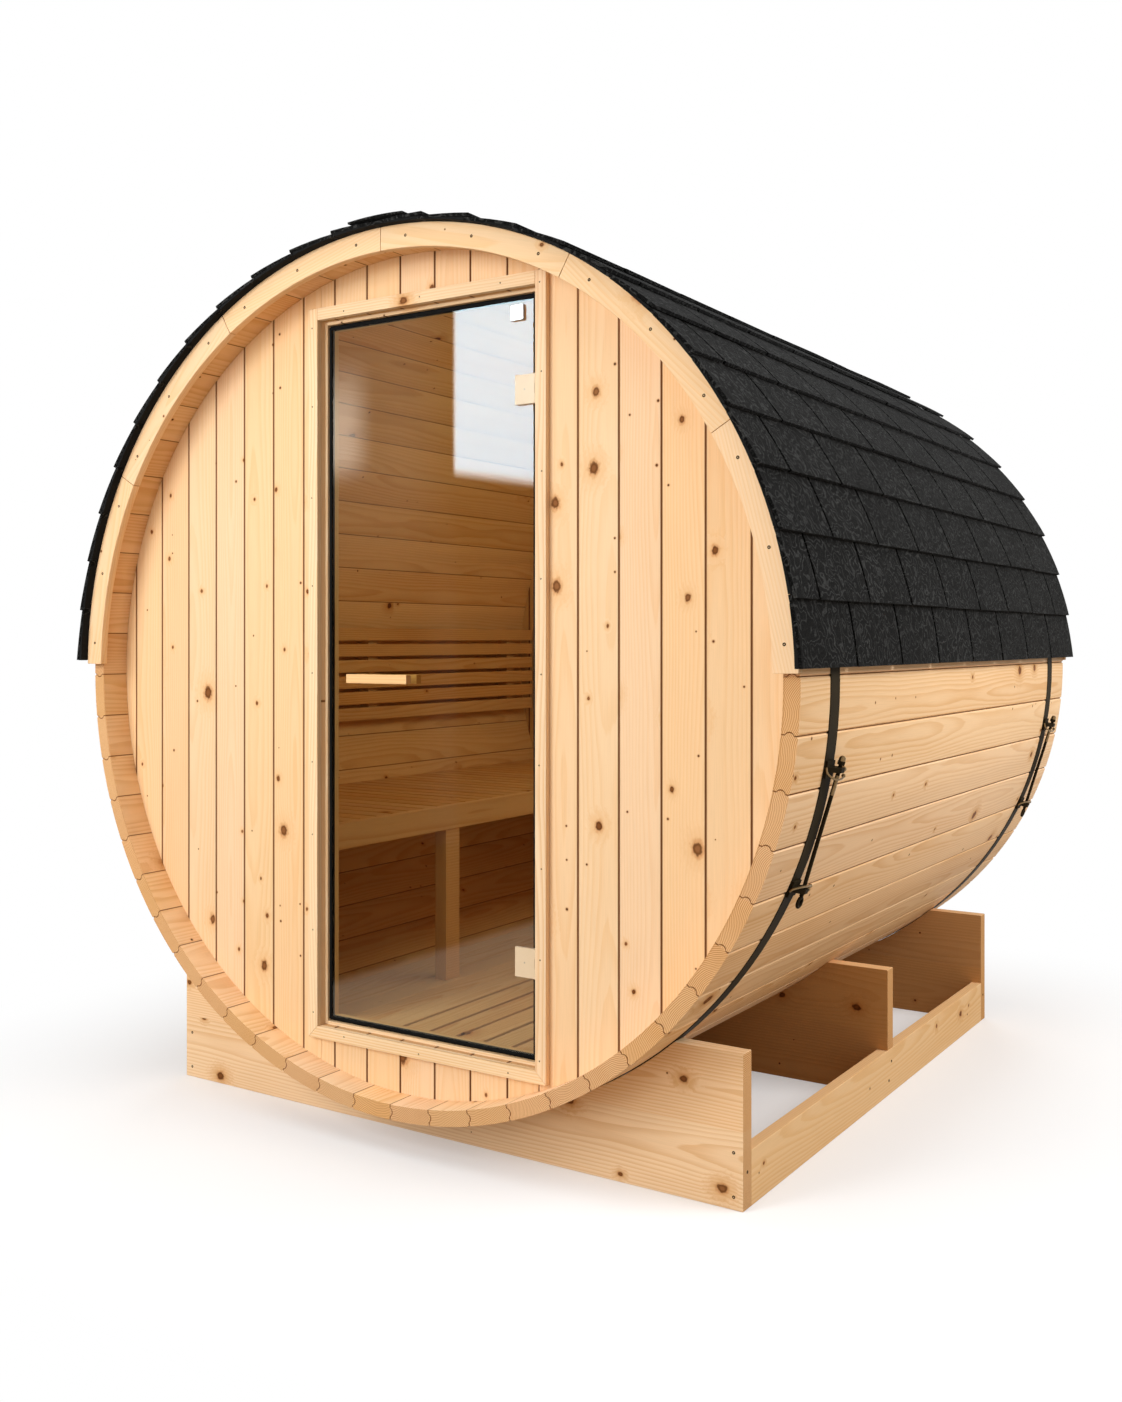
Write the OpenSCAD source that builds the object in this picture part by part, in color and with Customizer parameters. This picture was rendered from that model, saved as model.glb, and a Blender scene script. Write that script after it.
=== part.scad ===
// Barrel sauna: coopered timber barrel on three cradles, glazed door, shingled roof.
// Millimetres. Z is up, the front faces -Y, the barrel axis runs along Y, the ground is Z = 0.

/* [Barrel] */
// Outer radius of the staves
barrel_radius = 975; // [800:5:1150]
// Length of the staves
barrel_length = 2000; // [1600:10:3000]
// Thickness of a stave
stave_thick = 34; // [28:1:45]
// Number of staves round the barrel
stave_count = 56; // [48:8:64]
// Gap left between neighbouring staves
stave_gap = 0.4; // [0.3:0.1:1]
// Radius of the bead on a stave's edge
bead_radius = 10; // [7:0.5:12]
// How far the bead stands out of the edge
bead_rise = 6; // [3:0.5:7]
// Depth of the vee along a stave's outer edges
vee_depth = 4; // [1:0.5:5]
// Turn of the staves round the barrel, in stave widths
stave_turn = -0.4; // [-0.5:0.05:0.5]
// Height of the barrel's underside over the ground
ground_gap = 77; // [60:1:140]

/* [Cradles] */
// Length of a cradle's flat top beside the barrel
cradle_ear = 158; // [100:1:220]
// Height of a cradle's flat top over the barrel's underside
cradle_grip = 235; // [180:1:300]
// Thickness of a cradle board
cradle_thick = 38; // [30:1:50]
// Front cradle's face behind the stave ends
cradle_inset_front = 143; // [100:1:240]
// Rear cradle's face before the stave ends
cradle_inset_rear = 188; // [100:1:240]
// Rear face of the middle cradle along the barrel
cradle_middle_y = 8; // [-150:1:150]
// Height of a side rail
rail_height = 112; // [80:1:140]
// Thickness of a side rail
rail_thick = 28; // [20:1:40]

/* [Bands] */
// Width of a steel band
band_width = 45; // [30:1:60]
// Thickness of a steel band
band_thick = 1.5; // [1:0.1:3]
// Middle of a band from the stave ends
band_inset = 165; // [120:1:300]
// Angle of the upper lug under the horizontal
lug_angle_upper = 10; // [6:0.5:14]
// Angle of the lower lug under the horizontal
lug_angle_lower = 24.5; // [20:0.5:30]
// Diameter of the tension rod
rod_diameter = 8; // [6:1:12]
// Height of the rod's middle over the band
rod_stand = 14; // [14:0.5:22]
// Sideways shift of the rod from the band's middle
rod_shift = 20; // [12:1:26]
// Length of a lug's foot along the band
lug_foot = 34; // [26:1:44]
// Thickness of a lug's foot
lug_base = 4; // [3:0.5:6]
// Thickness of a lug's ear
lug_ear = 10; // [8:1:14]
// Length of the rod beyond a lug
rod_tail = 14; // [12:1:24]
// Radius of the rod's hook
hook_radius = 10; // [8:1:14]

/* [End walls] */
// Wall face behind the stave ends
wall_recess = 72; // [50:1:140]
// Thickness of an end wall
wall_thick = 40; // [30:1:50]
// Width of a wall board
board_width = 98; // [80:1:130]
// Gap between wall boards
board_gap = 1.2; // [0.6:0.1:3]
// Board joint nearest the barrel's axis
board_shift = -20; // [-49:1:49]
// Depth of the groove that holds an end wall
croze_depth = 10; // [6:1:14]

/* [Door] */
// Doorway's middle from the barrel's axis
door_offset = 48; // [-80:1:80]
// Width of the glass
glass_width = 584; // [520:1:640]
// Clearance between a casing corner and the staves
corner_clear = 7; // [5:0.5:20]
// Thickness of the glass
glass_thick = 8; // [6:1:10]
// Glass face behind the wall face
glass_set = 14; // [12:0.5:15]
// Clearance between glass and frame
door_clear = 6; // [5:0.5:9]
// Thickness of the frame's inner lip
lip_thick = 8; // [6:0.5:12]
// Lip's face behind the wall face
lip_set = 12; // [8:0.5:14]
// Width of the casing
casing_width = 28; // [22:1:45]
// How far the casing stands before the wall
casing_proud = 14; // [10:1:24]
// Depth of the rebate that stops the glass
stop_width = 14; // [12:0.5:18]
// Thickness of the rubber seal
seal_thick = 3; // [2:0.5:4]
// Clearance between glass and seal
seal_clear = 1; // [0.5:0.1:2]

/* [Door fittings] */
// Width of a hinge clamp
clamp_width = 50; // [40:1:60]
// Height of a hinge clamp
clamp_height = 63; // [54:1:80]
// Thickness of a hinge clamp's plate
clamp_thick = 8; // [6:0.5:9]
// Middle of the upper clamp under the glass top
clamp_upper = 200; // [120:1:300]
// Middle of the lower clamp over the glass bottom
clamp_lower = 203; // [120:1:300]
// Radius of the hinge knuckle
knuckle_radius = 2.6; // [2.4:0.1:2.9]
// Radius of the hinge pin
pin_radius = 1.2; // [1:0.1:1.4]
// Side of the top catch plate
catch_side = 34; // [26:1:40]
// Length of a handle bar
handle_length = 177; // [120:1:240]
// Height of a handle bar
handle_height = 20; // [16:1:30]
// Depth of a handle bar
handle_depth = 16; // [12:1:22]
// Gap between handle bar and glass
handle_gap = 8; // [6:1:12]
// Handle's end from the free edge of the glass
handle_start = 72; // [30:1:120]
// Handle's middle under the barrel's axis
handle_drop = 11; // [-150:1:150]

/* [Interior] */
// Floor surface under the lower edge of the glass
sill_step = 10; // [8:1:30]
// Thickness of the floor boards
floor_thick = 22; // [18:1:28]
// Pitch of the floor boards
floor_pitch = 77; // [60:1:110]
// Gap between the slatted floor boards
floor_gap = 10; // [6:1:14]
// Width of the floor's cross board at the sill
floor_front = 36; // [28:1:60]
// Height of a floor bearer
bearer_height = 42; // [30:1:50]
// Width of a floor bearer
bearer_width = 40; // [30:1:60]
// Bench front face beside the glass
bench_clear = 10; // [4:1:60]
// Bench surface over the floor
bench_rise = 460; // [400:1:480]
// Height of the bench apron
apron_height = 62; // [50:1:90]
// Thickness of apron and seat slats
bench_thick = 24; // [18:1:30]
// Pitch of the seat slats
seat_pitch = 60; // [45:1:90]
// Gap between seat slats
seat_gap = 8; // [4:1:14]
// Bench leg size across the barrel
leg_across = 36; // [30:1:50]
// Bench leg size along the barrel
leg_along = 58; // [40:1:70]
// Bench legs from the end walls
leg_inset = 468; // [300:1:600]
// Width of the bench bearers and backrest battens
batten_width = 40; // [30:1:50]
// Lower edge of the backrest over the bench
back_rise = 189; // [140:1:220]
// Height of a backrest slat
back_slat = 38; // [30:1:45]
// Pitch of the backrest slats
back_pitch = 49.4; // [46:0.2:60]
// Gap between the backrest's ends and the end walls
back_inset = 20; // [10:1:200]
// Thickness of a backrest slat
back_thick = 20; // [14:1:26]
// Thickness of the backrest battens
batten_thick = 26; // [20:1:34]

/* [Roof] */
// Thickness of the roof underlay
underlay_thick = 3; // [2:0.5:5]
// Thickness of a shingle
shingle_thick = 7; // [4:0.5:9]
// Shingle courses on each side
course_count = 12; // [10:1:14]
// Angle of the eaves over the horizontal
eave_angle = 1.5; // [0:0.5:6]
// Length of a course against the course step
lap_ratio = 1.06; // [1.04:0.01:1.07]
// Clearance between lapped courses
lap_clear = 1.2; // [1.2:0.1:2]
// Shingle overhang before the fascia
roof_overhang = 20; // [10:1:40]
// Width of the fascia boards
fascia_width = 52; // [44:1:70]
// Thickness of the fascia boards
fascia_thick = 20; // [14:1:28]
// Fascia segments round the half circle
fascia_count = 6; // [4:1:8]
// Angle of the fascia's feet over the horizontal
fascia_foot = 1; // [0:0.25:2]

/* [Hidden] */
$fn = 48;
big = 288;
fit = 0.3;
axis_height = ground_gap + barrel_radius;
r_out = barrel_radius;
r_in = barrel_radius - stave_thick;
y_front = -barrel_length / 2;
y_rear = barrel_length / 2;
stave_step = 360 / stave_count;
sector_size = stave_count / 8;
r_band = r_out + fit + band_thick;
r_under = r_band + fit;
r_deck = r_under + underlay_thick;
r_fascia = r_deck;
wall_front_y = y_front + wall_recess;
wall_rear_y = y_rear - wall_recess - wall_thick;
wall_inner_front = wall_front_y + wall_thick;
wall_radius = r_in + croze_depth - 1;
glass_x0 = door_offset - glass_width / 2;
glass_x1 = door_offset + glass_width / 2;
casing_reach = abs(door_offset) + glass_width / 2 + door_clear + lip_thick + fit + casing_width;
corner_rise = sqrt(pow(r_in - corner_clear, 2) - casing_reach * casing_reach);
glass_half = corner_rise - casing_width - fit - lip_thick - door_clear;
glass_bottom = axis_height - glass_half;
glass_top = axis_height + glass_half;
glass_y = wall_front_y + glass_set;
open_x0 = glass_x0 - door_clear;
open_x1 = glass_x1 + door_clear;
open_z0 = glass_bottom - door_clear;
open_z1 = glass_top + door_clear;
lip_x0 = open_x0 - lip_thick;
lip_x1 = open_x1 + lip_thick;
lip_z0 = open_z0 - lip_thick;
lip_z1 = open_z1 + lip_thick;
rough_x0 = lip_x0 - fit;
rough_x1 = lip_x1 + fit;
rough_z0 = lip_z0 - fit;
rough_z1 = lip_z1 + fit;
seal_y = glass_y + glass_thick + seal_clear;
stop_y = seal_y + seal_thick;
axis_x = glass_x1 + door_clear / 2;
axis_y = glass_y - clamp_thick;
clamp_z_upper = glass_top - clamp_upper;
clamp_z_lower = glass_bottom + clamp_lower;
handle_x = glass_x0 + handle_start + handle_length / 2;
handle_z = axis_height - handle_drop;
cradle_height = ground_gap + cradle_grip;
cradle_half = sqrt(r_out * r_out - pow(axis_height - cradle_height, 2)) + cradle_ear;
floor_top = glass_bottom - sill_step;
bench_front = bench_clear - glass_x0;
bench_top = floor_top + bench_rise;
back_low = bench_top + back_rise;
back_high = back_low + 5 * back_pitch + back_slat;
back_bulge = max(abs(axis_height - back_low), abs(back_high - axis_height));
back_x = -sqrt(r_in * r_in - back_bulge * back_bulge) + 4 + batten_thick;
course_step = (90 - eave_angle) / course_count;
course_top = r_deck + fit;
course_span = course_step * lap_ratio;
course_low_1 = lap_radius(course_top + 2 * shingle_thick) + lap_clear;
course_low_2 = lap_radius(course_low_1 + shingle_thick) + lap_clear;
course_low = lap_radius(course_low_2 + shingle_thick) + lap_clear;
roof_front = y_front - fascia_thick - roof_overhang;
roof_length = barrel_length + 2 * (fascia_thick + roof_overhang);
cradle_front_y = y_front + cradle_inset_front;
cradle_rear_y = y_rear - cradle_inset_rear - cradle_thick;
cradle_mid_y = cradle_middle_y - cradle_thick;
cabin_y0 = wall_inner_front + 1;
cabin_y1 = wall_rear_y - 1;
cabin_len = cabin_y1 - cabin_y0;
leg_y = cabin_len / 2 - leg_inset;
back_half = cabin_len / 2 - back_inset;
sky = axis_height + r_out;

wood = "#dcb07c";
wood_light = "#e6c091";
wood_warm = "#d3a06a";
steel_dark = "#3a342c";
shingle_black = "#26272a";
glass_tint = "#8d6b4c";
rubber = "#17181a";
ivory = "#e9dcc0";
chrome = "#d5d7da";

function polar(a, r) = [r * cos(a), r * sin(a)];

// Outer radius of a course, whose lower edge stands at radius r, where the next course begins.
function lap_radius(r) =
  r * (course_top + shingle_thick) * sin(course_span)
  / (r * sin(course_step) + (course_top + shingle_thick) * sin(course_span - course_step));

// Extrudes a profile drawn round the barrel's axis along the barrel.
module along(y0, len) {
  translate([0, y0 + len, axis_height]) rotate([90, 0, 0]) linear_extrude(len) children();
}

// Extrudes a profile drawn in ground coordinates along the barrel.
module upright(y0, len) {
  translate([0, y0 + len, 0]) rotate([90, 0, 0]) linear_extrude(len) children();
}

// Puts a child at an angle round the axis: local X is outwards, local Z is along the hoop.
module round_at(a) {
  translate([0, 0, axis_height]) rotate([0, -a, 0]) children();
}

module box(x0, x1, y0, y1, z0, z1) {
  translate([x0, y0, z0]) cube([x1 - x0, y1 - y0, z1 - z0]);
}

module ring(r0, r1) {
  difference() {
    circle(r = r1, $fn = big);
    circle(r = r0, $fn = big);
  }
}

module arc(r0, r1, a0, a1) {
  far = r1 * 2;
  mid = (a0 + a1) / 2;
  intersection() {
    ring(r0, r1);
    polygon([[0, 0], polar(a0, far), polar(mid, far), polar(a1, far)]);
  }
}

// One stave's section, lying on the local X axis.
module stave_section() {
  half = stave_step / 2;
  cut = (stave_gap / 2) / r_out * 180 / PI;
  mid = r_in + stave_thick / 2;
  seat = bead_radius - bead_rise;
  difference() {
    union() {
      arc(r_in, r_out, -half + cut, half - cut);
      rotate(half) translate([mid, -seat]) circle(r = bead_radius - stave_gap / 2);
    }
    rotate(-half) translate([mid, -seat]) circle(r = bead_radius + stave_gap / 2);
    for (s = [-1, 1])
      rotate(s * half)
        polygon([[r_out - vee_depth, 0], [r_out + 1, vee_depth + 1], [r_out + 1, -vee_depth - 1]]);
  }
}

module stave(a) {
  difference() {
    along(y_front, barrel_length) rotate(a) stave_section();
    along(wall_front_y - fit, wall_thick + 2 * fit) ring(r_in - 20, r_in + croze_depth);
    along(wall_rear_y - fit, wall_thick + 2 * fit) ring(r_in - 20, r_in + croze_depth);
  }
}

// Staves of one eighth of the barrel; sector 0 is the bottom.
module stave_sector(k) {
  first = k * sector_size - floor(sector_size / 2);
  color(wood)
  for (i = [0 : sector_size - 1])
    stave(-90 + (first + i + stave_turn) * stave_step);
}

module staves_bottom() { stave_sector(0); }
module staves_low_right() { stave_sector(1); }
module staves_right() { stave_sector(2); }
module staves_high_right() { stave_sector(3); }
module staves_top() { stave_sector(4); }
module staves_high_left() { stave_sector(5); }
module staves_left() { stave_sector(6); }
module staves_low_left() { stave_sector(7); }

module cradle(y0, r, notched) {
  color(wood_warm)
  difference() {
    box(-cradle_half, cradle_half, y0, y0 + cradle_thick, 0, cradle_height);
    along(y0 - 1, cradle_thick + 2) circle(r = r, $fn = big);
    if (notched)
      for (s = [-1, 1])
        translate([s * cradle_half, y0 + cradle_thick / 2, rail_height / 2])
          cube([2 * (rail_thick + fit), cradle_thick + 2, rail_height + 2 * fit], center = true);
  }
}

module cradle_front() { cradle(cradle_front_y, r_band + fit, false); }
module cradle_middle() { cradle(cradle_mid_y, r_out + fit, true); }
module cradle_rear() { cradle(cradle_rear_y, r_band + fit, false); }

module rail(s) {
  y0 = cradle_front_y + cradle_thick;
  color(wood_warm)
  translate([s * (cradle_half - rail_thick / 2), (y0 + cradle_rear_y) / 2, rail_height / 2])
    cube([rail_thick, cradle_rear_y - y0, rail_height], center = true);
}

module rail_left() { rail(-1); }
module rail_right() { rail(1); }

module band(y) {
  color(steel_dark) along(y - band_width / 2, band_width) ring(r_out + fit, r_band);
}

module band_front() { band(y_front + band_inset); }
module band_rear() { band(y_rear - band_inset); }

// Lug on the band with a leaning ear that the rod runs through.
module lug(a, y) {
  half = band_width / 2;
  top = rod_stand + rod_diameter;
  out = rod_shift + rod_diameter;
  round_at(a) translate([r_band, y, 0]) difference() {
    union() {
      translate([0, lug_base - half, -lug_foot / 2]) cube([lug_base, band_width - 2 * lug_base, lug_foot]);
      translate([0, 0, -lug_ear / 2]) linear_extrude(lug_ear)
        polygon([[0, lug_ear - half], [lug_base, lug_ear - half], [top, rod_shift - rod_diameter],
          [top, out], [top - 2 * rod_diameter, out], [0, half - lug_base]]);
    }
    translate([rod_stand, rod_shift, 0])
      cylinder(r = rod_diameter / 2 + fit, h = 4 * lug_ear, center = true);
  }
}

module tensioner(y) {
  half = (lug_angle_lower - lug_angle_upper) / 2;
  mid = -(lug_angle_upper + lug_angle_lower) / 2;
  r_rod = r_band + rod_stand;
  reach = r_rod * sin(half);
  head = reach + lug_ear / 2 + rod_tail;
  color(steel_dark) {
    lug(-lug_angle_upper, y);
    lug(-lug_angle_lower, y);
    round_at(mid) translate([r_rod * cos(half), y + rod_shift, 0]) {
      translate([0, 0, -reach - rod_tail]) cylinder(r = rod_diameter / 2, h = reach + rod_tail + head);
      translate([0, 0, reach + lug_ear]) cylinder(r = rod_diameter * 0.95, h = rod_diameter, $fn = 6);
      translate([0, 0, -reach - rod_tail - hook_radius - rod_diameter * 0.3]) rotate([90, 0, 90])
        rotate_extrude() translate([hook_radius, 0]) circle(r = rod_diameter * 0.4);
    }
  }
}

module tensioner_front() { tensioner(y_front + band_inset); }
module tensioner_rear() { tensioner(y_rear - band_inset); }

// Upright boards between two sides, cut to the round of the barrel.
module wall_boards(y0, x0, x1, z0, z1, phase) {
  k0 = floor((x0 - phase) / board_width);
  k1 = ceil((x1 - phase) / board_width) - 1;
  color(wood_light)
  upright(y0, wall_thick)
    for (k = [k0 : k1])
      intersection() {
        translate([0, axis_height]) circle(r = wall_radius, $fn = big);
        translate([max(x0, phase + k * board_width + board_gap / 2), z0])
          square([min(x1, phase + (k + 1) * board_width - board_gap / 2)
            - max(x0, phase + k * board_width + board_gap / 2), z1 - z0]);
      }
}

module wall_left() { wall_boards(wall_front_y, -wall_radius, rough_x0, 0, sky, board_shift); }
module wall_right() { wall_boards(wall_front_y, rough_x1, wall_radius, 0, sky, rough_x1); }
module wall_over_door() {
  wall_boards(wall_front_y, rough_x0 + fit, rough_x1 - fit, rough_z1, sky, board_shift);
}
module wall_under_door() {
  wall_boards(wall_front_y, rough_x0 + fit, rough_x1 - fit, 0, rough_z0, board_shift);
}
module wall_rear() { wall_boards(wall_rear_y, -wall_radius, wall_radius, 0, sky, board_shift); }

// Door frame: a lip round the glass with a stop behind it.
module frame_jambs() {
  y0 = wall_front_y + lip_set;
  color(wood_warm) {
    box(lip_x0, open_x0, y0, wall_inner_front, lip_z0, lip_z1);
    box(lip_x0, open_x0 + stop_width, stop_y, wall_inner_front, lip_z0, lip_z1);
    box(open_x1, lip_x1, y0, wall_inner_front, lip_z0, lip_z1);
    box(open_x1 - stop_width, lip_x1, stop_y, wall_inner_front, lip_z0, lip_z1);
  }
}

module frame_head_sill() {
  y0 = wall_front_y + lip_set;
  x0 = open_x0 + fit;
  x1 = open_x1 - fit;
  s0 = open_x0 + stop_width + fit;
  s1 = open_x1 - stop_width - fit;
  color(wood_warm) {
    box(x0, x1, y0, stop_y - fit, open_z1, lip_z1);
    box(s0, s1, y0, wall_inner_front, open_z1, lip_z1);
    box(s0, s1, stop_y, wall_inner_front, open_z1 - stop_width, lip_z1);
    box(x0, x1, y0, stop_y - fit, lip_z0, open_z0);
    box(s0, s1, y0, wall_inner_front, lip_z0, open_z0);
    box(s0, s1, stop_y, wall_inner_front, lip_z0, open_z0 + stop_width);
  }
}

// Casing on the wall round the frame: butted at the head, mitred at the sill.
module casing_sides() {
  w = casing_width;
  g = fit / 2;
  color(wood_light)
  upright(wall_front_y - casing_proud, casing_proud - g) {
    polygon([[rough_x0, rough_z0 + g], [rough_x0, rough_z1 + w],
      [rough_x0 - w, rough_z1 + w], [rough_x0 - w, rough_z0 - w + g]]);
    polygon([[rough_x1, rough_z0 + g], [rough_x1, rough_z1 + w],
      [rough_x1 + w, rough_z1 + w], [rough_x1 + w, rough_z0 - w + g]]);
  }
}

module casing_head_sill() {
  w = casing_width;
  g = fit / 2;
  color(wood_light)
  upright(wall_front_y - casing_proud, casing_proud - g) {
    translate([rough_x0 + g, rough_z1]) square([rough_x1 - rough_x0 - 2 * g, w]);
    polygon([[rough_x0 + g, rough_z0], [rough_x1 - g, rough_z0],
      [rough_x1 + w - g, rough_z0 - w], [rough_x0 - w + g, rough_z0 - w]]);
  }
}

module door_seal() {
  w = stop_width - 0.5;
  color(rubber)
  upright(seal_y, seal_thick - fit / 2)
    difference() {
      translate([open_x0 + fit, open_z0 + fit])
        square([open_x1 - open_x0 - 2 * fit, open_z1 - open_z0 - 2 * fit]);
      translate([open_x0 + w, open_z0 + w])
        square([open_x1 - open_x0 - 2 * w, open_z1 - open_z0 - 2 * w]);
    }
}

// Fixed middle knuckle of a hinge and the bent leaf that holds it on the frame's lip.
module hinge_leaf(z) {
  h = clamp_height / 3 - 1;
  foot = door_clear / 2 + lip_thick / 2;
  translate([axis_x, axis_y, z]) difference() {
    union() {
      cylinder(r = knuckle_radius, h = h, center = true);
      translate([0, -1.2, -h / 2]) cube([foot, 2.4, h]);
      translate([foot - 3, -1.2, -h / 2]) cube([3, wall_front_y + lip_set - axis_y + 1.2, h]);
    }
    cylinder(r = pin_radius + fit, h = h + 2, center = true);
  }
}

module hinge_leaves() {
  color(ivory) {
    hinge_leaf(clamp_z_upper);
    hinge_leaf(clamp_z_lower);
  }
}

module door_glass() {
  color(glass_tint)
  box(glass_x0, glass_x1, glass_y, glass_y + glass_thick, glass_bottom, glass_top);
}

// Moving clamp: a plate before the glass, its two knuckles and the pin.
module door_clamp(z) {
  third = clamp_height / 3;
  x0 = glass_x1 - clamp_width;
  x1 = glass_x1 - 1;
  box(x0, x1, glass_y - clamp_thick, glass_y, z - clamp_height / 2, z + clamp_height / 2);
  for (s = [-1, 1])
    translate([axis_x, axis_y, z + s * third]) {
      cylinder(r = knuckle_radius, h = third, center = true);
      translate([-door_clear / 2 - 2, -1.2, -third / 2]) cube([door_clear / 2 + 2, 2.4, third]);
    }
  translate([axis_x, axis_y, z]) cylinder(r = pin_radius, h = third * 2, center = true);
}

module door_clamps() {
  color(ivory) {
    door_clamp(clamp_z_upper);
    door_clamp(clamp_z_lower);
  }
}

module door_catch() {
  x1 = glass_x1 - 30;
  z1 = glass_top - 17;
  color(chrome)
  box(x1 - catch_side, x1, glass_y - 6, glass_y, z1 - catch_side, z1);
}

module handle_bar(y0, post_y) {
  translate([handle_x, y0 + handle_depth / 2, handle_z])
    cube([handle_length, handle_depth, handle_height], center = true);
  for (s = [-1, 1])
    translate([handle_x + s * handle_length * 0.32, post_y + handle_gap, handle_z])
      rotate([90, 0, 0]) cylinder(r = 6, h = handle_gap);
}

module door_handle() {
  color(wood_light) {
    handle_bar(glass_y - handle_gap - handle_depth, glass_y - handle_gap);
    handle_bar(glass_y + glass_thick + handle_gap, glass_y + glass_thick);
  }
}

// A rectangle in ground coordinates, cut to the inside of the barrel.
module inside(x0, x1, z0, z1) {
  intersection() {
    translate([0, axis_height]) circle(r = r_in - fit, $fn = big);
    translate([x0, z0]) square([x1 - x0, z1 - z0]);
  }
}

// Floor: tight boards under the bench, slats with gaps before it, a cross board at the sill.
module floor_boards() {
  z0 = floor_top - floor_thick;
  split = glass_x0 + 2 * floor_pitch + floor_gap / 2;
  n = ceil(r_in * 0.55 / floor_pitch);
  color(wood) {
    upright(cabin_y0 + floor_front + 1, cabin_len - floor_front - 1) {
      for (i = [1 : n - 1])
        inside(split - i * floor_pitch + 1, split - (i - 1) * floor_pitch, z0, floor_top);
      for (i = [0 : n])
        inside(split + i * floor_pitch + floor_gap, split + (i + 1) * floor_pitch, z0, floor_top);
    }
    upright(cabin_y0, floor_front) inside(-r_in, r_in, z0, floor_top);
  }
}

module floor_bearers() {
  z1 = floor_top - floor_thick;
  color(wood_warm)
  for (y = [cabin_y0 + 2, -bearer_width / 2, cabin_y1 - bearer_width - 2])
    upright(y, bearer_width) inside(-r_in, r_in, z1 - bearer_height, z1);
}

// Bench: cross slats on a front apron, a rear bearer and two legs.
module bench_seat() {
  n = floor(cabin_len / seat_pitch);
  pitch = cabin_len / n;
  color(wood)
  for (i = [0 : n - 1])
    upright(cabin_y0 + i * pitch + seat_gap / 2, pitch - seat_gap)
      inside(-r_in, -bench_front - bench_thick - fit, bench_top - bench_thick, bench_top);
}

module bench_frame() {
  z1 = bench_top - bench_thick - fit;
  z0 = bench_top - apron_height;
  rear = -sqrt(r_in * r_in - (axis_height - z1) * (axis_height - z1)) + batten_width;
  inner = -bench_front - bench_thick;
  color(wood_light) {
    box(inner, -bench_front, cabin_y0, cabin_y1, z0, bench_top);
    upright(cabin_y0, cabin_len) inside(-r_in, rear, z0, z1);
    for (s = [-1, 1]) {
      box(-bench_front - 4 - leg_across, -bench_front - 4,
        s * leg_y - leg_along / 2, s * leg_y + leg_along / 2, floor_top + fit, z0 - fit);
      box(rear + fit, inner - fit, s * leg_y - batten_width / 2, s * leg_y + batten_width / 2, z0, z1);
    }
  }
}

module backrest_slats() {
  color(wood)
  for (i = [0 : 5])
    box(back_x, back_x + back_thick, -back_half, back_half,
      back_low + i * back_pitch, back_low + i * back_pitch + back_slat);
}

module backrest_battens() {
  color(wood_warm)
  for (y = [-back_half * 0.87, 0, back_half * 0.87])
    upright(y - batten_width / 2, batten_width) inside(-r_in, back_x - fit, back_low, back_high);
}

// Curved boards over the stave ends of the upper half.
module fascia(y0) {
  step = 180 / fascia_count;
  color(wood_light)
  along(y0, fascia_thick)
    for (i = [0 : fascia_count - 1])
      arc(r_fascia - fascia_width, r_fascia, max(i * step + 0.03, fascia_foot),
        min((i + 1) * step - 0.03, 180 - fascia_foot));
}

module fascia_front() { fascia(y_front - fascia_thick); }
module fascia_rear() { fascia(y_rear); }

module roof_underlay() {
  color(shingle_black)
  along(y_front, barrel_length) arc(r_under, r_deck, eave_angle, 180 - eave_angle);
}

// One course: a flat strip that stands off at its lower edge.
module course(a) {
  b = min(a + course_span, 89.97);
  polygon([polar(a, course_low), polar(a, course_low + shingle_thick),
    polar(b, course_top + shingle_thick), polar(b, course_top)]);
}

module courses() {
  tail = eave_angle + course_step * 0.3;
  color(shingle_black)
  along(roof_front, roof_length) {
    for (i = [0 : course_count - 1])
      course(eave_angle + i * course_step);
    polygon([polar(eave_angle, course_top), polar(eave_angle, course_low - fit),
      polar(tail, course_top + 1), polar(tail, course_top)]);
  }
}

module roof_right() { courses(); }
module roof_left() { mirror([1, 0, 0]) courses(); }

// Cap over the top edges of the last courses.
module roof_ridge() {
  half = course_step * 0.6;
  last = course_step - 0.03;
  low = course_low + shingle_thick;
  top = course_top + shingle_thick;
  under = low * top * sin(last) / (low * sin(last - half) + top * sin(half)) + lap_clear / 2;
  color(shingle_black)
  along(roof_front, roof_length)
    polygon([polar(90 - half, under), polar(90 - half, under + shingle_thick),
      polar(90, under + shingle_thick), polar(90 + half, under + shingle_thick),
      polar(90 + half, under), polar(90, under)]);
}

cradle_front();
cradle_middle();
cradle_rear();
rail_left();
rail_right();
staves_bottom();
staves_low_right();
staves_right();
staves_high_right();
staves_top();
staves_high_left();
staves_left();
staves_low_left();
band_front();
band_rear();
tensioner_front();
tensioner_rear();
wall_left();
wall_right();
wall_over_door();
wall_under_door();
wall_rear();
frame_jambs();
frame_head_sill();
casing_sides();
casing_head_sill();
door_seal();
hinge_leaves();
door_glass();
door_clamps();
door_catch();
door_handle();
floor_boards();
floor_bearers();
bench_seat();
bench_frame();
backrest_slats();
backrest_battens();
fascia_front();
fascia_rear();
roof_underlay();
roof_right();
roof_left();
roof_ridge();
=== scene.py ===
"""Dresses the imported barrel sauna: spruce grain, shingle tabs, band fittings, tinted glass and studio."""

import logging
import math
import random
from dataclasses import dataclass, replace
from enum import Enum
from typing import Callable, NamedTuple, Optional, Sequence, Union

import bmesh
import bpy
from mathutils import Matrix, Vector


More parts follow.
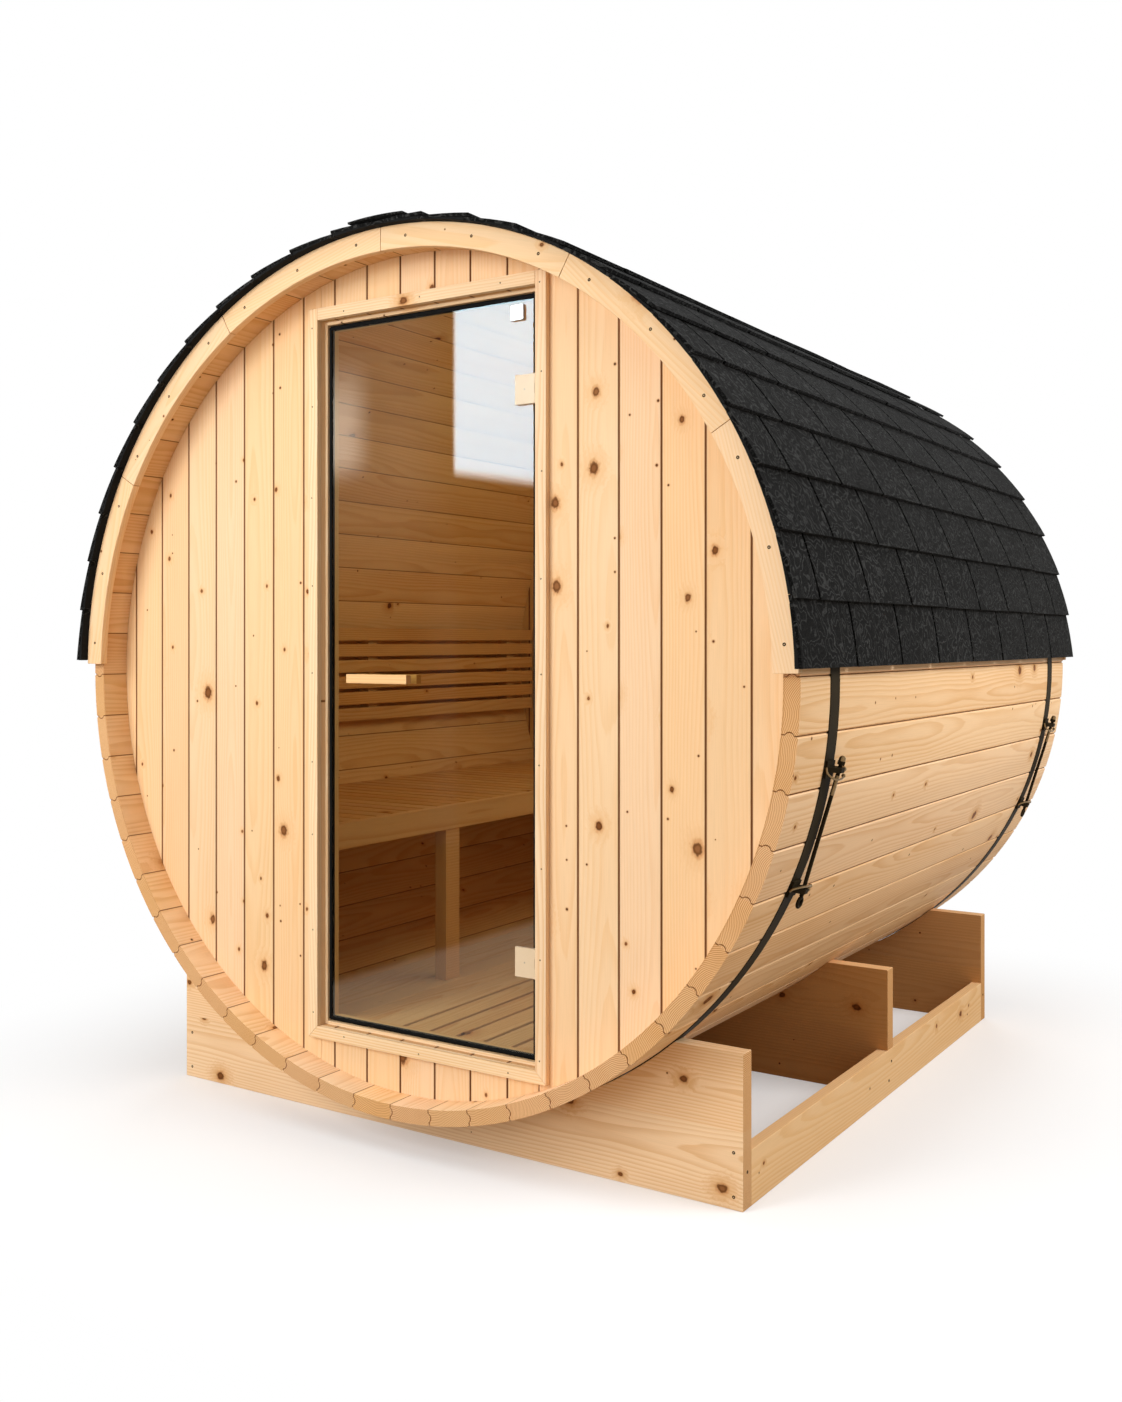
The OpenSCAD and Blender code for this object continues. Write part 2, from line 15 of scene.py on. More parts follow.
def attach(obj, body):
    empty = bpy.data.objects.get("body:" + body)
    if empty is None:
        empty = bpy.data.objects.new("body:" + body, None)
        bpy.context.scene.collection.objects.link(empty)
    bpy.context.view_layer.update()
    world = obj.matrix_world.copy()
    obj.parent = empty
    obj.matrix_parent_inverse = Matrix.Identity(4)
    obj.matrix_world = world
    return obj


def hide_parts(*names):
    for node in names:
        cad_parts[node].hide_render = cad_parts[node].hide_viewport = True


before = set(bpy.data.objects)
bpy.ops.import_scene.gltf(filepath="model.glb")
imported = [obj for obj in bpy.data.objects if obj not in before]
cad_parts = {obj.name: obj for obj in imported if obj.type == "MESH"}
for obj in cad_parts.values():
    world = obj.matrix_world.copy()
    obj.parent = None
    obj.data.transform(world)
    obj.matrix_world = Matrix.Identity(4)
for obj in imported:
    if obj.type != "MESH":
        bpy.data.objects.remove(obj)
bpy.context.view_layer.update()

LOG = logging.getLogger("barrel_sauna")

Colour = tuple[float, float, float]
Place = tuple[float, float, float]
Range = tuple[float, float]
Key = Union[int, str]
Value = Union[float, Colour, "Signal"]
Feeds = dict[Key, Value]
Sheet = Sequence[Sequence[Vector]]
Spots = list[tuple[Vector, Vector]]

FLOAT = "NodeSocketFloat"
COLOUR = "NodeSocketColor"
VECTOR = "NodeSocketVector"
WELD_REACH = 1e-5
BEVEL_ANGLE = math.radians(40)


class Axis(Enum):
    """An axis of the row frame."""

    X = 0
    Y = 1
    Z = 2


class Side(Enum):
    """A side of the barrel, as seen from the front."""

    RIGHT = 1.0
    LEFT = -1.0


class End(Enum):
    """An end of the barrel, with the way that it faces along Y."""

    FRONT = -1.0
    REAR = 1.0

    @property
    def outward(self) -> Vector:
        """The normal of this end."""
        return Vector((0.0, self.value, 0.0))


class Body(Enum):
    """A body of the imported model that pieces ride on."""

    BARREL = "barrel"
    DOOR = "door"


@dataclass(frozen=True)
class BarrelSizes:
    """Sizes that several sub-assemblies share, in metres."""

    axis_height: float = 1.052
    radius: float = 0.975
    stave_count: int = 56
    stave_turn: float = -0.4
    half_length: float = 1.0
    band_radius: float = 0.9768
    band_offset: float = 0.835
    wall_face: float = -0.928
    board_width: float = 0.098
    board_phase: float = -0.020
    fascia_radius: float = 0.9801
    fascia_width: float = 0.052
    fascia_face: float = 1.02
    fascia_count: int = 6
    roof_half: float = 1.040
    cradle_front: float = -0.857
    cradle_rear: float = 0.812
    casing_proud: float = 0.014
    casing_width: float = 0.028
    rough_left: float = -0.2583
    rough_right: float = 0.3543
    rough_low: float = 0.2278
    rough_high: float = 1.8762
    glass_left: float = -0.244
    glass_right: float = 0.340
    glass_low: float = 0.2421
    glass_high: float = 1.8619
    glass_face: float = -0.914
    clamp_left: float = 0.290
    clamp_right: float = 0.339
    clamp_half: float = 0.0315
    clamp_levels: Range = (0.4451, 1.6619)
    clamp_thick: float = 0.008

    def around(self, angle: float, radius: float, y: float, side: Side = Side.RIGHT) -> Vector:
        """Place a point round the barrel's axis, by its angle over the horizontal on one side."""
        x = side.value * radius * math.cos(angle)
        return Vector((x, y, self.axis_height + radius * math.sin(angle)))


SIZES = BarrelSizes()


class Signal:
    """A value in a node tree. Arithmetic on it adds Math nodes."""

    def __init__(self, graph: "Graph", socket: bpy.types.NodeSocket) -> None:
        """Keep the socket and the graph that it lies in."""
        self.graph = graph
        self.socket = socket

    def math(self, operation: str, *others: Value) -> "Signal":
        """Add a Math node that takes this value first."""
        return self.graph.math(operation, self, *others)

    def __add__(self, other: Value) -> "Signal":
        """Add another value."""
        return self.math("ADD", other)

    def __sub__(self, other: Value) -> "Signal":
        """Take another value away."""
        return self.math("SUBTRACT", other)

    def __rsub__(self, other: Value) -> "Signal":
        """Take this value away from another."""
        return self.graph.math("SUBTRACT", other, self)

    def __mul__(self, other: Value) -> "Signal":
        """Multiply by another value."""
        return self.math("MULTIPLY", other)

    def __truediv__(self, other: Value) -> "Signal":
        """Divide by another value."""
        return self.math("DIVIDE", other)

    def __abs__(self) -> "Signal":
        """Drop the sign."""
        return self.math("ABSOLUTE")

    def most(self, other: Value) -> "Signal":
        """Take the larger of this and another value."""
        return self.math("MAXIMUM", other)

    def span(self, other: "Signal") -> "Signal":
        """Return the length of a line with this and another value as its legs."""
        return (self * self + other * other).math("SQRT")

    def blend(self, low: Value, high: Value) -> "Signal":
        """Ease from 0 where this value is low to 1 where it is high. Low may be the larger."""
        feeds = {"Value": self, "From Min": low, "From Max": high}
        return self.graph.add("ShaderNodeMapRange", feeds, interpolation_type="SMOOTHSTEP")["Result"]

    def split(self) -> tuple["Signal", "Signal", "Signal"]:
        """Split a vector into its three numbers."""
        parts = self.graph.add("ShaderNodeSeparateXYZ", {0: self})
        return parts[0], parts[1], parts[2]


class Taps:
    """The outputs of a node, as signals."""

    def __init__(self, graph: "Graph", outputs: bpy.types.NodeOutputs) -> None:
        """Keep the outputs and the graph that they lie in."""
        self.graph = graph
        self.outputs = outputs

    def __getitem__(self, key: Key) -> Signal:
        """Return an output by its name or number."""
        return Signal(self.graph, self.outputs[key])


class Graph:
    """Adds nodes to one node tree and joins them."""

    def __init__(self, tree: bpy.types.NodeTree) -> None:
        """Keep the tree that nodes are added to."""
        self.tree = tree

    def feed(self, node: bpy.types.Node, feeds: Feeds) -> None:
        """Link a node's inputs to signals, or set their own values.

        Args:
            node: the node to feed.
            feeds: what inputs take, by name or number.
        """
        for key, value in feeds.items():
            socket = node.inputs[key]
            if isinstance(value, Signal):
                self.tree.links.new(value.socket, socket)
            elif isinstance(value, tuple) and socket.type == "RGBA":
                socket.default_value = (*value, 1.0)
            else:
                socket.default_value = value

    def add(self, kind: str, feeds: Optional[Feeds] = None, **settings: object) -> Taps:
        """Add a node.

        Args:
            kind: the node's type name.
            feeds: what its inputs take, by name or number.
            settings: properties to set on it first.

        Returns:
            The node's outputs.
        """
        made = self.tree.nodes.new(kind)
        for key, value in settings.items():
            setattr(made, key, value)
        self.feed(made, feeds or {})
        return Taps(self, made.outputs)

    def math(self, operation: str, *values: Value) -> Signal:
        """Add a Math node and return its result."""
        return self.add("ShaderNodeMath", dict(enumerate(values)), operation=operation)[0]

    def mix(self, share: Value, first: Value, second: Value, way: str = "MIX") -> Signal:
        """Mix a share of a second colour into a first one."""
        feeds = {0: share, 6: first, 7: second}
        return self.add("ShaderNodeMix", feeds, data_type="RGBA", blend_type=way)[2]

    def join(self, share: Value, first: Signal, second: Signal) -> Signal:
        """Mix a share of a second shader into a first one."""
        return self.add("ShaderNodeMixShader", {0: share, 1: first, 2: second})[0]

    def vector(self, x: Value, y: Value, z: Value) -> Signal:
        """Join three numbers into a vector."""
        return self.add("ShaderNodeCombineXYZ", {0: x, 1: y, 2: z})[0]

    def coords(self) -> Signal:
        """Return the place of the shaded point, in metres of the row frame."""
        return self.add("ShaderNodeTexCoord")["Object"]

    def normal(self) -> Signal:
        """Return the normal of the shaded face."""
        return self.add("ShaderNodeTexCoord")["Normal"]

    def noise(self, vector: Signal, scale: Value, detail: float = 2.0, rough: float = 0.5) -> Signal:
        """Return a noise texture's value."""
        feeds = {"Vector": vector, "Scale": scale, "Detail": detail, "Roughness": rough}
        return self.add("ShaderNodeTexNoise", feeds)[0]

    def cells(self, vector: Signal, scale: float, space: str = "2D") -> tuple[Signal, Signal]:
        """Return the distance from a Voronoi cell's point, in cells, and the cell's random colour."""
        made = self.add("ShaderNodeTexVoronoi", {"Vector": vector, "Scale": scale}, voronoi_dimensions=space)
        return made["Distance"], made["Color"]

    def dice(self, value: Value) -> tuple[Signal, Signal, Signal]:
        """Draw three steady random numbers from 0 to 1 for a value."""
        return self.add("ShaderNodeTexWhiteNoise", {"W": value}, noise_dimensions="1D")["Color"].split()

    def bump(self, height: Signal, depth: float, strength: float) -> Signal:
        """Return a normal raised by a height of about 0 to 1, where 1 stands for a depth in metres."""
        return self.add("ShaderNodeBump", {"Height": height, "Distance": depth, "Strength": strength})[0]

    def seen(self) -> Signal:
        """Return 1 on rays that the camera, a mirror or a pane sends."""
        path = self.add("ShaderNodeLightPath")
        return path["Is Camera Ray"].most(path["Is Glossy Ray"].most(path["Is Transmission Ray"]))

    def surface(self, shader: Signal) -> None:
        """Make a shader the material's surface."""
        self.feed(self.tree.nodes["Material Output"], {"Surface": shader})


class NodeGroup:
    """A shader node group with named sockets, built once and placed in several materials."""

    NAME = ""
    INPUTS: dict[str, str] = {}
    OUTPUTS: dict[str, str] = {}

    def wire(self, graph: Graph, given: Taps) -> dict[str, Signal]:
        """Join the group's inner nodes.

        Args:
            graph: the group's tree.
            given: the group's inputs, as seen from inside.

        Returns:
            The signal for each output, by name.
        """
        raise NotImplementedError

    def tree(self) -> bpy.types.NodeTree:
        """Build the group at the first call.

        Returns:
            The group's tree.
        """
        found = bpy.data.node_groups.get(self.NAME)
        if found is not None:
            return found
        tree = bpy.data.node_groups.new(self.NAME, "ShaderNodeTree")
        for way, sockets in (("INPUT", self.INPUTS), ("OUTPUT", self.OUTPUTS)):
            for name, kind in sockets.items():
                tree.interface.new_socket(name=name, in_out=way, socket_type=kind)
        graph = Graph(tree)
        graph.add("NodeGroupOutput", self.wire(graph, graph.add("NodeGroupInput")))
        return tree

    def place(self, graph: Graph, feeds: Feeds) -> Taps:
        """Put the group into a material and return its outputs."""
        return graph.add("ShaderNodeGroup", feeds, node_tree=self.tree())


class BoardSpace(NodeGroup):
    """Splits a width into boards: the place within a board, and a random number for each."""

    NAME = "board_space"
    INPUTS = dict.fromkeys(("Across", "Pitch", "Phase", "Salt"), FLOAT)
    OUTPUTS = dict.fromkeys(("Local", "Seed"), FLOAT)

    def wire(self, graph: Graph, given: Taps) -> dict[str, Signal]:
        """Join the group's inner nodes, as NodeGroup.wire says."""
        shifted = given["Across"] - given["Phase"]
        index = (shifted / given["Pitch"]).math("FLOOR")
        return {"Local": shifted - (index + 0.5) * given["Pitch"],
                "Seed": graph.dice(index + given["Salt"])[0]}


class KnotMasks(NamedTuple):
    """Masks of the branch knots, with a random number for each knot."""

    core: Signal
    rim: Signal
    warm: Signal
    halo: Signal
    kind: Signal


class SpruceGrain(NodeGroup):
    """Solid spruce: growth rings round a wandering pith, fibres, knots and end grain, with painted shade
    where the Inner mask asks.
    """

    NAME = "spruce_grain"
    # Inner is a mask of painted shade: where it is set, SHADE_TINT darkens the wood.
    INPUTS = {**dict.fromkeys(("Local", "Along", "Depth", "Seed", "End", "Seam", "Inner"), FLOAT),
              **dict.fromkeys(("Pale", "Late", "Knot"), COLOUR),
              **dict.fromkeys(("Ring pitch", "Knot share", "Tone"), FLOAT)}
    OUTPUTS = {"Color": COLOUR, "Roughness": FLOAT, "Height": FLOAT}
    SEED_SPREAD, SEED_START = 913.7, 0.37
    ALONG_SPREAD, ACROSS_SPREAD = 61.0, 37.0
    KNOT_CELLS, KNOT_STRETCH = 7.2, 0.78
    KNOT_GROWTH, KNOT_LEAST = 0.0080, 0.0026
    RAGGED_SCALE, RAGGED_SPAN, RAGGED_LEAST = 130.0, 0.9, 0.55
    PIN_CELLS, PIN_SHARE = 15.0, 0.10
    PIN_GROWTH, PIN_LEAST = 0.022, 0.014
    PITH_WANDER, PITH_SWAY = 0.11, 0.06
    PITH_SPAN, PITH_LEAST = 0.075, 0.012
    RING_BEND, RING_RIPPLE, RING_CLOSE = 0.007, 0.007, -0.45
    RIPPLE_SCALES: Range = (30.0, 3.2)
    FIBRE_SCALES: Range = (620.0, 11.0)
    END_TINT: Colour = (0.80, 0.70, 0.58)
    END_RING: Colour = (0.36, 0.165, 0.055)
    SHADE_TINT: Colour = (0.62, 0.43, 0.20)
    WARM_EDGE: Colour = (0.52, 0.195, 0.052)
    BARK_BLACK: Colour = (0.012, 0.003, 0.001)
    SEAM_SHADE: Colour = (0.17, 0.050, 0.009)

    def knots(self, graph: Graph, spot: Signal, share: Signal) -> KnotMasks:
        """Scatter the branch knots, each with its own size and ragged outline.

        Args:
            graph: the group's tree.
            spot: the place on the board's face.
            share: share of the cells that hold a knot.

        Returns:
            The masks of core, dark rim, warm edge and the halo that bends the grain.
        """
        reach, draw = graph.cells(spot, self.KNOT_CELLS)
        has, size, kind = draw.split()
        held = has.math("LESS_THAN", share)
        radius = size.math("POWER", 3.0) * self.KNOT_GROWTH + self.KNOT_LEAST
        ragged = graph.noise(spot, self.RAGGED_SCALE) * self.RAGGED_SPAN + self.RAGGED_LEAST
        edge = reach / self.KNOT_CELLS / radius * ragged
        rim = edge.blend(0.35, 0.85) * edge.blend(1.25, 0.95)
        return KnotMasks(held * edge.blend(1.15, 0.7), held * rim, held * edge.blend(2.1, 1.0),
                         held * edge.blend(5.5, 0.8), kind)

    def pins(self, graph: Graph, spot: Signal, side_grain: Signal) -> tuple[Signal, Signal]:
        """Scatter the pin knots.

        Args:
            graph: the group's tree.
            spot: the place on the board's face.
            side_grain: mask of the faces along the grain.

        Returns:
            The masks of the pins and of their warm edges.
        """
        reach, draw = graph.cells(spot, self.PIN_CELLS)
        has, size, _ = draw.split()
        radius = size * self.PIN_GROWTH + self.PIN_LEAST
        held = has.math("LESS_THAN", side_grain * self.PIN_SHARE)
        return held * reach.blend(radius * 1.4, radius), held * reach.blend(radius * 2.6, radius)

    def streaks(self, graph: Graph, given: Taps, along: Signal, scales: Range) -> Signal:
        """Return noise that is stretched along the grain, by its scales across and along."""
        spot = graph.vector(given["Local"] * scales[0], along * scales[1], given["Depth"] * scales[0])
        return graph.noise(spot, 1.0)

    def late_wood(self, graph: Graph, given: Taps, along: Signal,
                  draws: tuple[Signal, Signal, Signal], halo: Signal) -> Signal:
        """Draw the dark late wood of the growth rings.

        Args:
            graph: the group's tree.
            given: the group's inputs.
            along: the place along the grain.
            draws: the board's random numbers.
            halo: mask of the grain that bends round knots.

        Returns:
            The mask of the late wood.
        """
        first, second, third = draws
        sway = graph.noise(graph.vector(first, along * 1.1, second), 1.0, 1.0)
        aside = given["Local"] - (second - 0.5) * self.PITH_WANDER
        deep = third * self.PITH_SPAN + self.PITH_LEAST + (sway - 0.5) * self.PITH_SWAY
        ripple = self.streaks(graph, given, along, self.RIPPLE_SCALES)
        waved = aside.span(given["Depth"] + deep) + halo * self.RING_BEND + ripple * self.RING_RIPPLE
        pitch = given["Ring pitch"] * (given["End"] * self.RING_CLOSE + 1.0)
        ring = (waved / pitch).math("FRACT")
        return ring.blend(0.25, 0.9) * ring.blend(1.0, 0.9)

    def wire(self, graph: Graph, given: Taps) -> dict[str, Signal]:
        """Join the group's inner nodes, as NodeGroup.wire says."""
        end, side_grain = given["End"], 1.0 - given["End"]
        # One node takes both steps, because another rounding could change the random draws.
        draws = graph.dice(given["Seed"].math("MULTIPLY_ADD", self.SEED_SPREAD, self.SEED_START))
        first, second, third = draws
        along = given["Along"] + given["Seed"] * self.ALONG_SPREAD
        across = given["Local"] + first * self.ACROSS_SPREAD
        knot = self.knots(graph, graph.vector(across, along * self.KNOT_STRETCH, 0.0),
                          given["Knot share"] * side_grain)
        pin, pin_warm = self.pins(graph, graph.vector(across, along, 0.0), side_grain)
        late = self.late_wood(graph, given, along, draws, knot.halo)
        fibre = self.streaks(graph, given, along, self.FIBRE_SCALES)
        patch = graph.noise(graph.vector(given["Local"] * 9.0, along * 1.3, third), 1.0)

        wood = graph.mix(late * (end * 0.75 + (patch * 0.85 + 0.02)), given["Pale"], given["Late"])
        wood = graph.mix(patch.blend(0.45, 0.8) * 0.28, wood, given["Late"])
        tone = (second - 0.5) * given["Tone"] + 1.0
        wood = graph.add("ShaderNodeHueSaturation", {
            "Hue": third * 0.005 + 0.4965, "Saturation": first * 0.12 + 0.96,
            "Value": tone + (fibre - 0.5) * 0.16, "Color": wood})[0]
        wood = graph.mix(end * 0.85, wood, self.END_TINT, "MULTIPLY")
        wood = graph.mix(end * (late * 0.45), wood, self.END_RING)
        wood = graph.mix(knot.halo * 0.75, wood, given["Late"])
        wood = graph.mix(knot.warm.most(pin_warm) * 0.62, wood, self.WARM_EDGE)
        wood = graph.mix(knot.core * (knot.kind * 0.25 + 0.72), wood, given["Knot"])
        bark = graph.mix(0.70, given["Knot"], self.BARK_BLACK)
        wood = graph.mix(knot.rim * 0.6, wood, bark)
        wood = graph.mix(pin * 0.9, wood, bark)
        # Painted shade: SHADE_TINT multiplies the wood where Inner is set.
        wood = graph.mix(given["Inner"], wood, self.SHADE_TINT, "MULTIPLY")
        wood = graph.mix(given["Seam"] * 0.9, wood, self.SEAM_SHADE)
        return {"Color": wood, "Roughness": fibre * 0.14 + 0.42 + end * 0.2,
                "Height": late * 0.5 + fibre * 0.7 - pin * 1.2}


class FineSpeckle(NodeGroup):
    """Fine mottling of coated metal, rubber and felt."""

    NAME = "fine_speckle"
    INPUTS = {"Vector": VECTOR, "Scale": FLOAT, "Low": COLOUR, "High": COLOUR,
              "Rough low": FLOAT, "Rough high": FLOAT}
    OUTPUTS = {"Color": COLOUR, "Roughness": FLOAT, "Height": FLOAT}

    def wire(self, graph: Graph, given: Taps) -> dict[str, Signal]:
        """Join the group's inner nodes, as NodeGroup.wire says."""
        broad = graph.noise(given["Vector"], 9.0, 3.0)
        fine = graph.noise(given["Vector"], given["Scale"], 2.0, 0.6)
        eased = (broad * 0.5 + fine * 0.5).blend(0.3, 0.7)
        rough = graph.add("ShaderNodeMix", {0: eased, 2: given["Rough low"], 3: given["Rough high"]},
                          data_type="FLOAT")[0]
        return {"Color": graph.mix(eased, given["Low"], given["High"]), "Roughness": rough, "Height": fine}


class BoardPlace(NamedTuple):
    """Signals that say where a point lies in its board, and how much painted shade it takes."""

    local: Signal
    along: Signal
    depth: Signal
    seed: Signal
    end: Signal
    seam: Value = 0.0
    # inner carries the mask of painted shade.
    inner: Value = 0.0


class Lay:
    """How boards lie in a part of the object."""

    def place(self, graph: Graph) -> BoardPlace:
        """Work out where a point lies in its board.

        Args:
            graph: the material's tree.

        Returns:
            The place's signals.
        """
        raise NotImplementedError

    def end_grain(self, lean: Signal) -> Signal:
        """Mask faces that cut across the grain, by their normal's part along it."""
        return abs(lean).blend(0.75, 0.93)


@dataclass(frozen=True)
class PlankLay(Lay):
    """Straight boards side by side, with a dark seam between them or painted shade on their broad faces."""

    grain: Axis
    across: Axis
    pitch: float
    phase: float = 0.0
    face: float = 0.0
    salt: float = 0.0
    seam: float = 0.0
    shade: float = 0.0

    def place(self, graph: Graph) -> BoardPlace:
        """Work out where a point lies in its board, as Lay.place says."""
        parts, normal = graph.coords().split(), graph.normal().split()
        third = 3 - self.grain.value - self.across.value
        board = BoardSpace().place(graph, {"Across": parts[self.across.value], "Pitch": self.pitch,
                                           "Phase": self.phase, "Salt": self.salt})
        seam: Value = 0.0
        if self.seam:
            edge = self.pitch / 2 - self.seam
            seam = abs(board["Local"]).blend(edge - self.seam * 0.5, edge + self.seam * 0.4)
        # Painted shade on the broad faces across the boards, for the shadow that falls on them.
        inner: Value = 0.0
        if self.shade:
            inner = abs(normal[third]).blend(0.5, 0.9) * self.shade
        return BoardPlace(board["Local"], parts[self.grain.value], parts[third] - self.face, board["Seed"],
                          self.end_grain(normal[self.grain.value]), seam, inner)


@dataclass(frozen=True)
class StaveLay(Lay):
    """Staves side by side round the barrel, with a bead along one edge of each and painted shade on their
    inner faces past the end walls, stronger higher up.
    """

    salt: float = 11.0
    thick: float = 0.034
    bead_radius: float = 0.010
    bead_seat: float = 0.004
    seam: float = 0.0019
    lip_shade: float = 0.38
    lip_heights: Range = (0.2, 0.75)

    def place(self, graph: Graph) -> BoardPlace:
        """Work out where a point lies in its stave, as Lay.place says."""
        x, y, height = graph.coords().split()
        z = height - SIZES.axis_height
        step = math.tau / SIZES.stave_count
        start = math.pi / 2 + (SIZES.stave_turn - 0.5) * step
        ahead = x * math.cos(start) + z * math.sin(start)
        aside = z * math.cos(start) - x * math.sin(start)
        arc = aside.math("ARCTAN2", ahead) * SIZES.radius
        board = BoardSpace().place(graph, {"Across": arc, "Pitch": step * SIZES.radius,
                                           "Phase": -math.pi * SIZES.radius, "Salt": self.salt})
        reach = x.span(z)
        depth = SIZES.radius - reach
        hollow = SIZES.radius - self.thick
        # Painted shade on the inner faces past the end walls, growing with height, for the shade in the
        # reveal.
        past_wall = abs(y).math("GREATER_THAN", -SIZES.wall_face)
        lip = past_wall * (height.blend(*self.lip_heights) * self.lip_shade)
        return BoardPlace(board["Local"], y, depth, board["Seed"],
                          self.end_grain(graph.normal().split()[Axis.Y.value]),
                          self.joint(board["Local"], depth, step * SIZES.radius / 2),
                          reach.blend(hollow + 0.004, hollow + 0.001) * lip)

    def joint(self, local: Signal, depth: Signal, half: float) -> Signal:
        """Draw the bead and cove joint between two staves.

        Args:
            local: the place across the stave.
            depth: the depth under the outer face.
            half: half of a stave's width.

        Returns:
            The joint's mask.
        """
        level = depth - self.thick / 2
        squared = self.bead_radius ** 2 - level * level
        bulge = (squared.most(0.0).math("SQRT") - self.bead_seat).most(0.0)
        near = abs(local - half - bulge).math("MINIMUM", abs(local + half - bulge))
        return near.blend(self.seam, self.seam * 0.35)


@dataclass(frozen=True)
class ArcLay(Lay):
    """Curved boards sawn from straight planks, end to end round the upper half."""

    face: float
    salt: float

    def place(self, graph: Graph) -> BoardPlace:
        """Work out where a point lies in its curved board, as Lay.place says."""
        x, y, height = graph.coords().split()
        z = height - SIZES.axis_height
        angle = z.math("ARCTAN2", x)
        board = BoardSpace().place(graph, {"Across": angle, "Pitch": math.pi / SIZES.fascia_count,
                                           "Phase": 0.0, "Salt": self.salt})
        middle = angle - board["Local"]
        cosine, sine = middle.math("COSINE"), middle.math("SINE")
        normal_x, _, normal_z = graph.normal().split()
        return BoardPlace(x * cosine + z * sine - SIZES.fascia_radius, z * cosine - x * sine, y - self.face,
                          board["Seed"], self.end_grain(normal_z * cosine - normal_x * sine))


def principled(name: str) -> tuple[bpy.types.Material, Graph, bpy.types.Node]:
    """Start a material on its Principled shader.

    Args:
        name: the material's name.

    Returns:
        The material, its tree and its Principled shader.
    """
    material = bpy.data.materials.new(name)
    material.use_nodes = True
    return material, Graph(material.node_tree), material.node_tree.nodes["Principled BSDF"]


@dataclass(frozen=True)
class SpruceFinish:
    """Planed spruce with a clear finish."""

    name: str
    lay: Lay
    pale: Colour = (0.86, 0.605, 0.362)
    late: Colour = (0.72, 0.405, 0.170)
    knot: Colour = (0.17, 0.050, 0.011)
    ring_pitch: float = 0.0062
    knot_share: float = 0.55
    tone: float = 0.06
    specular: float = 0.015
    relief_depth: float = 0.0005
    relief: float = 0.35

    def material(self) -> bpy.types.Material:
        """Build the finish.

        Returns:
            The material.
        """
        material, graph, shader = principled(self.name)
        place = {name.capitalize(): value for name, value in self.lay.place(graph)._asdict().items()}
        grain = SpruceGrain().place(graph, {
            **place, "Pale": self.pale, "Late": self.late, "Knot": self.knot,
            "Ring pitch": self.ring_pitch, "Knot share": self.knot_share, "Tone": self.tone})
        graph.feed(shader, {
            "Base Color": grain["Color"], "Roughness": grain["Roughness"],
            "Specular IOR Level": self.specular,
            "Normal": graph.bump(grain["Height"], self.relief_depth, self.relief)})
        return material


@dataclass(frozen=True)
class SpeckleFinish:
    """Coated metal, rubber or felt with fine mottling."""

    name: str
    low: Colour
    high: Colour
    rough_low: float
    rough_high: float
    scale: float = 900.0
    metallic: float = 0.0
    coat: float = 0.0
    specular: float = 0.5
    relief_depth: float = 0.0003
    relief: float = 0.15

    def material(self) -> bpy.types.Material:
        """Build the finish.

        Returns:
            The material.
        """
        material, graph, shader = principled(self.name)
        speckle = FineSpeckle().place(graph, {
            "Vector": graph.coords(), "Scale": self.scale, "Low": self.low, "High": self.high,
            "Rough low": self.rough_low, "Rough high": self.rough_high})
        graph.feed(shader, {
            "Base Color": speckle["Color"], "Roughness": speckle["Roughness"], "Metallic": self.metallic,
            "Coat Weight": self.coat, "Specular IOR Level": self.specular,
            "Normal": graph.bump(speckle["Height"], self.relief_depth, self.relief)})
        return material


@dataclass(frozen=True)
class MineralFinish:
    """Black mineral granules on a shingle, pressed into short curls."""

    name: str
    dark: Colour = (0.0026, 0.0027, 0.0027)
    light: Colour = (0.057, 0.058, 0.057)
    warp_scale: float = 40.0
    warp_reach: float = 0.02
    curl_scale: float = 22.0
    curl_turns: float = 9.0
    grit_cells: float = 520.0
    patch_scale: float = 5.0
    specular: float = 0.012
    sheen: float = 0.05
    relief_depth: float = 0.0012
    relief: float = 0.7

    def curls(self, graph: Graph, coords: Signal) -> Signal:
        """Draw the pressed curls as level lines of a warped noise.

        Args:
            graph: the material's tree.
            coords: where they are read.

        Returns:
            The mask of the curls.
        """
        warp = graph.add("ShaderNodeTexNoise", {"Vector": coords, "Scale": self.warp_scale})["Color"]
        bent = graph.add("ShaderNodeVectorMath", {0: warp, 1: (self.warp_reach,) * 3, 2: coords},
                         operation="MULTIPLY_ADD")[0]
        turned = (graph.noise(bent, self.curl_scale, 1.0) * self.curl_turns).math("FRACT")
        return abs(turned - 0.5).blend(0.20, 0.08)

    def material(self) -> bpy.types.Material:
        """Build the finish.

        Returns:
            The material.
        """
        material, graph, shader = principled(self.name)
        coords = graph.coords()
        curl = self.curls(graph, coords)
        grit, draw = graph.cells(coords, self.grit_cells, "3D")
        speck = draw.split()[0]
        patch = graph.noise(coords, self.patch_scale, 3.0)
        bright = curl * (speck * 0.45 + 0.25) + speck.math("POWER", 5.0) * 0.35
        graph.feed(shader, {
            "Base Color": graph.mix(bright * (patch * 0.9 + 0.45), self.dark, self.light),
            "Roughness": speck * 0.2 + 0.72, "Specular IOR Level": self.specular, "Sheen Weight": self.sheen,
            "Normal": graph.bump(curl * 0.6 + grit * -0.5, self.relief_depth, self.relief)})
        return material


